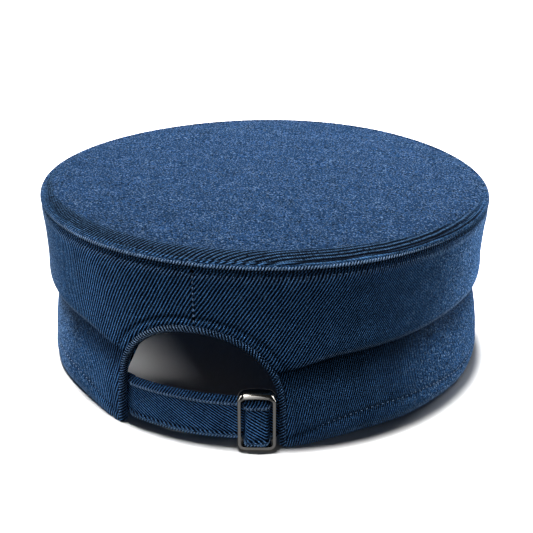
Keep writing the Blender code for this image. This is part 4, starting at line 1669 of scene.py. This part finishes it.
@dataclass
class Studio:
    """Pale table, soft light from above and the camera at the photograph's angle."""

    azimuth: float = math.radians(195.9)
    elevation: float = math.radians(24.2)
    distance: float = 0.500
    focal_pixels: float = 1151.0
    frame_pixels: float = 533.0
    look_right: float = -0.0009
    look_at: tuple[float, float, float] = (0.0, 0.02286, 0.0286)
    centre: tuple[float, float, float] = (0.0, 0.02, 0.03)
    light_above: float = 0.02
    light_below: float = 0.12

    def directions(self) -> tuple[Vector, Vector]:
        """Find the directions of the picture.

        Returns:
            Direction to the right of the picture, and from the cap to the camera.
        """
        flat = math.cos(self.elevation)
        right = Vector((math.cos(self.azimuth), math.sin(self.azimuth), 0.0))
        back = Vector((math.sin(self.azimuth) * flat, -math.cos(self.azimuth) * flat, math.sin(self.elevation)))
        return right, back

    def camera(self) -> None:
        """Set up the camera that sees what the photograph shows."""
        right, back = self.directions()
        data = bpy.data.cameras.new("studio_camera")
        data.sensor_width = 36.0
        data.lens = self.focal_pixels / self.frame_pixels * data.sensor_width
        data.clip_start, data.clip_end = 0.01, 20.0
        made = add_object("studio_camera", data)
        made.location = Vector(self.look_at) + right * self.look_right + back * self.distance
        made.rotation_euler = (-back).to_track_quat("-Z", "Y").to_euler()
        bpy.context.scene.camera = made

    def lamp(self, name: str, kind: str, toward: Vector, away: float, power: float, receivers: Sequence,
             **settings: object) -> None:
        """Hang one lamp that points at the cap.

        Args:
            name: Name of the lamp.
            kind: Blender's name of the lamp type.
            toward: Direction from the middle of the cap to the lamp.
            away: Distance of the lamp.
            power: Power in watts, or the strength of a sun.
            receivers: Objects that it lights; flags keep it off the others.
            **settings: Further settings of the lamp.
        """
        data = bpy.data.lights.new(name, kind)
        data.energy = power
        for key, value in settings.items():
            setattr(data, key, value)
        made = add_object(name, data)
        made.location = Vector(self.centre) + toward.normalized() * away
        made.rotation_euler = toward.to_track_quat("Z", "Y").to_euler()
        lit = bpy.data.collections.new(name + "_lights")
        for piece in receivers:
            lit.objects.link(piece)
        made.light_linking.receiver_collection = lit

    def table(self) -> list[bpy.types.Object]:
        """Lay the white paper of the table, also under the cap, and hang white paper all round behind it.

        Returns:
            The table, its round patch under the cap, and the backdrop.
        """
        paper, lit = PaperFinish("white_matte_paper", "EDEDED"), PaperFinish("lit_white_paper", "000000", 0.985)
        laid = []
        for name, finish, shape, sizes, place in (
                ("studio_table", paper, bmesh.ops.create_grid, {"x_segments": 1, "y_segments": 1, "size": 6.0},
                 (0.0, 0.0, 0.0)),
                ("studio_table_inside", paper, bmesh.ops.create_circle,
                 {"cap_ends": True, "segments": 96, "radius": 0.086}, (0.0, 0.0245, 0.00002)),
                ("studio_backdrop", lit, bmesh.ops.create_uvsphere,
                 {"u_segments": 48, "v_segments": 24, "radius": 7.0}, (0.0, 0.0, 0.0))):
            bm = bmesh.new()
            shape(bm, matrix=Matrix.Translation(place), **sizes)
            mesh = bpy.data.meshes.new(name)
            bm.to_mesh(mesh)
            bm.free()
            mesh.materials.append(finish.material())
            made = add_object(name, mesh)
            made.visible_diffuse = made.visible_glossy = made.visible_transmission = made.visible_shadow = False
            laid.append(made)
        return laid

    def surroundings(self) -> None:
        """Fill the studio with weak light, from the ceiling and thrown back by the table."""
        world = bpy.data.worlds.new("studio_surroundings")
        world.use_nodes = True
        node = partial(add_node, world.node_tree)
        rise = node("SeparateXYZ", {"Vector": node("TexCoord", output="Generated")}, "Z")
        level = node("MapRange", {"Value": rise, "From Min": -0.2, "From Max": 0.2, "To Min": self.light_below,
                                  "To Max": self.light_above})
        fill_inputs(world.node_tree.nodes["Background"], {"Strength": level, "Color": hex_colour("FFFFFF")})
        bpy.context.scene.world = world

    def build(self, cap: Sequence[bpy.types.Object], buckle: bpy.types.Object) -> None:
        """Set the table, the lights, the surroundings and the camera.

        Args:
            cap: Every piece of the cap.
            buckle: The metal one, which also mirrors the lit table in front of it.
        """
        table, inside, _ = self.table()
        right, back = self.directions()
        level, up = Vector((back.x, back.y, 0.0)).normalized(), Vector((0.0, 0.0, 1.0))
        cloth = [piece for piece in cap if piece is not buckle]
        self.lamp("overhead_softbox", "SUN", up - right * 0.16 - level * 0.12, 2.0, 3.0, cloth,
                  angle=math.radians(40.0))
        self.lamp("buckle_softbox", "AREA", up * 0.9 - right * 0.42 + level * 0.25, 0.5, 0.9, [buckle], size=0.16)
        self.lamp("front_softbox", "SUN", up - right * 0.35 + level * 0.75, 2.0, 1.25, cap, angle=math.radians(50.0))
        for name, side, power in (("left_softbox", -1.0, 7.0), ("right_softbox", 1.0, 10.0)):
            self.lamp(name, "AREA", right * side * 0.75 - level * 0.35 + up * 0.22, 0.86, power, cap, size=0.5)
        self.lamp("table_lamp", "SUN", up - right * 0.045 - level * 0.09, 2.0, 12.0, [table],
                  angle=math.radians(9.0))
        self.lamp("table_softbox", "SUN", up * 0.8 + right * 1.0 - level * 1.5, 2.0, 0.9, [table],
                  angle=math.radians(30.0))
        self.lamp("arch_lamp", "SPOT", level * 0.82 + right * 0.53 + up * 0.165, 0.6, 68.0, [inside],
                  spot_size=math.radians(30.0), spot_blend=0.5, shadow_soft_size=0.11)
        self.lamp("arch_fill", "AREA", level * 0.912 + up * 0.41, 0.6, 0.05, [inside], size=0.3,
                  color=hex_colour("FFDA88")[:3])
        self.lamp("table_shine", "AREA", level * 0.5 - up * 0.28, 0.45, 0.5, [buckle], size=0.6)
        self.surroundings()
        bpy.context.scene.view_settings.view_transform = "Standard"
        bpy.context.scene.view_settings.look = "None"
        self.camera()


def main() -> None:
    """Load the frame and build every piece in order."""
    logging.basicConfig(level=logging.INFO, format="%(name)s: %(message)s")
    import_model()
    strap = BackStrap(FORM)
    makers = (TopPanel(FORM), RimWelt(FORM), SideWall(FORM), LowerBand(FORM), ArchCord(FORM), strap,
              SlideBuckle(FORM, strap), Peak(FORM), Stitching(FORM, strap))
    cap = {maker.label.name: maker.build() for maker in makers}
    Studio().build(list(cap.values()), cap[SlideBuckle.label.name])


if __name__ == "__main__":
    main()
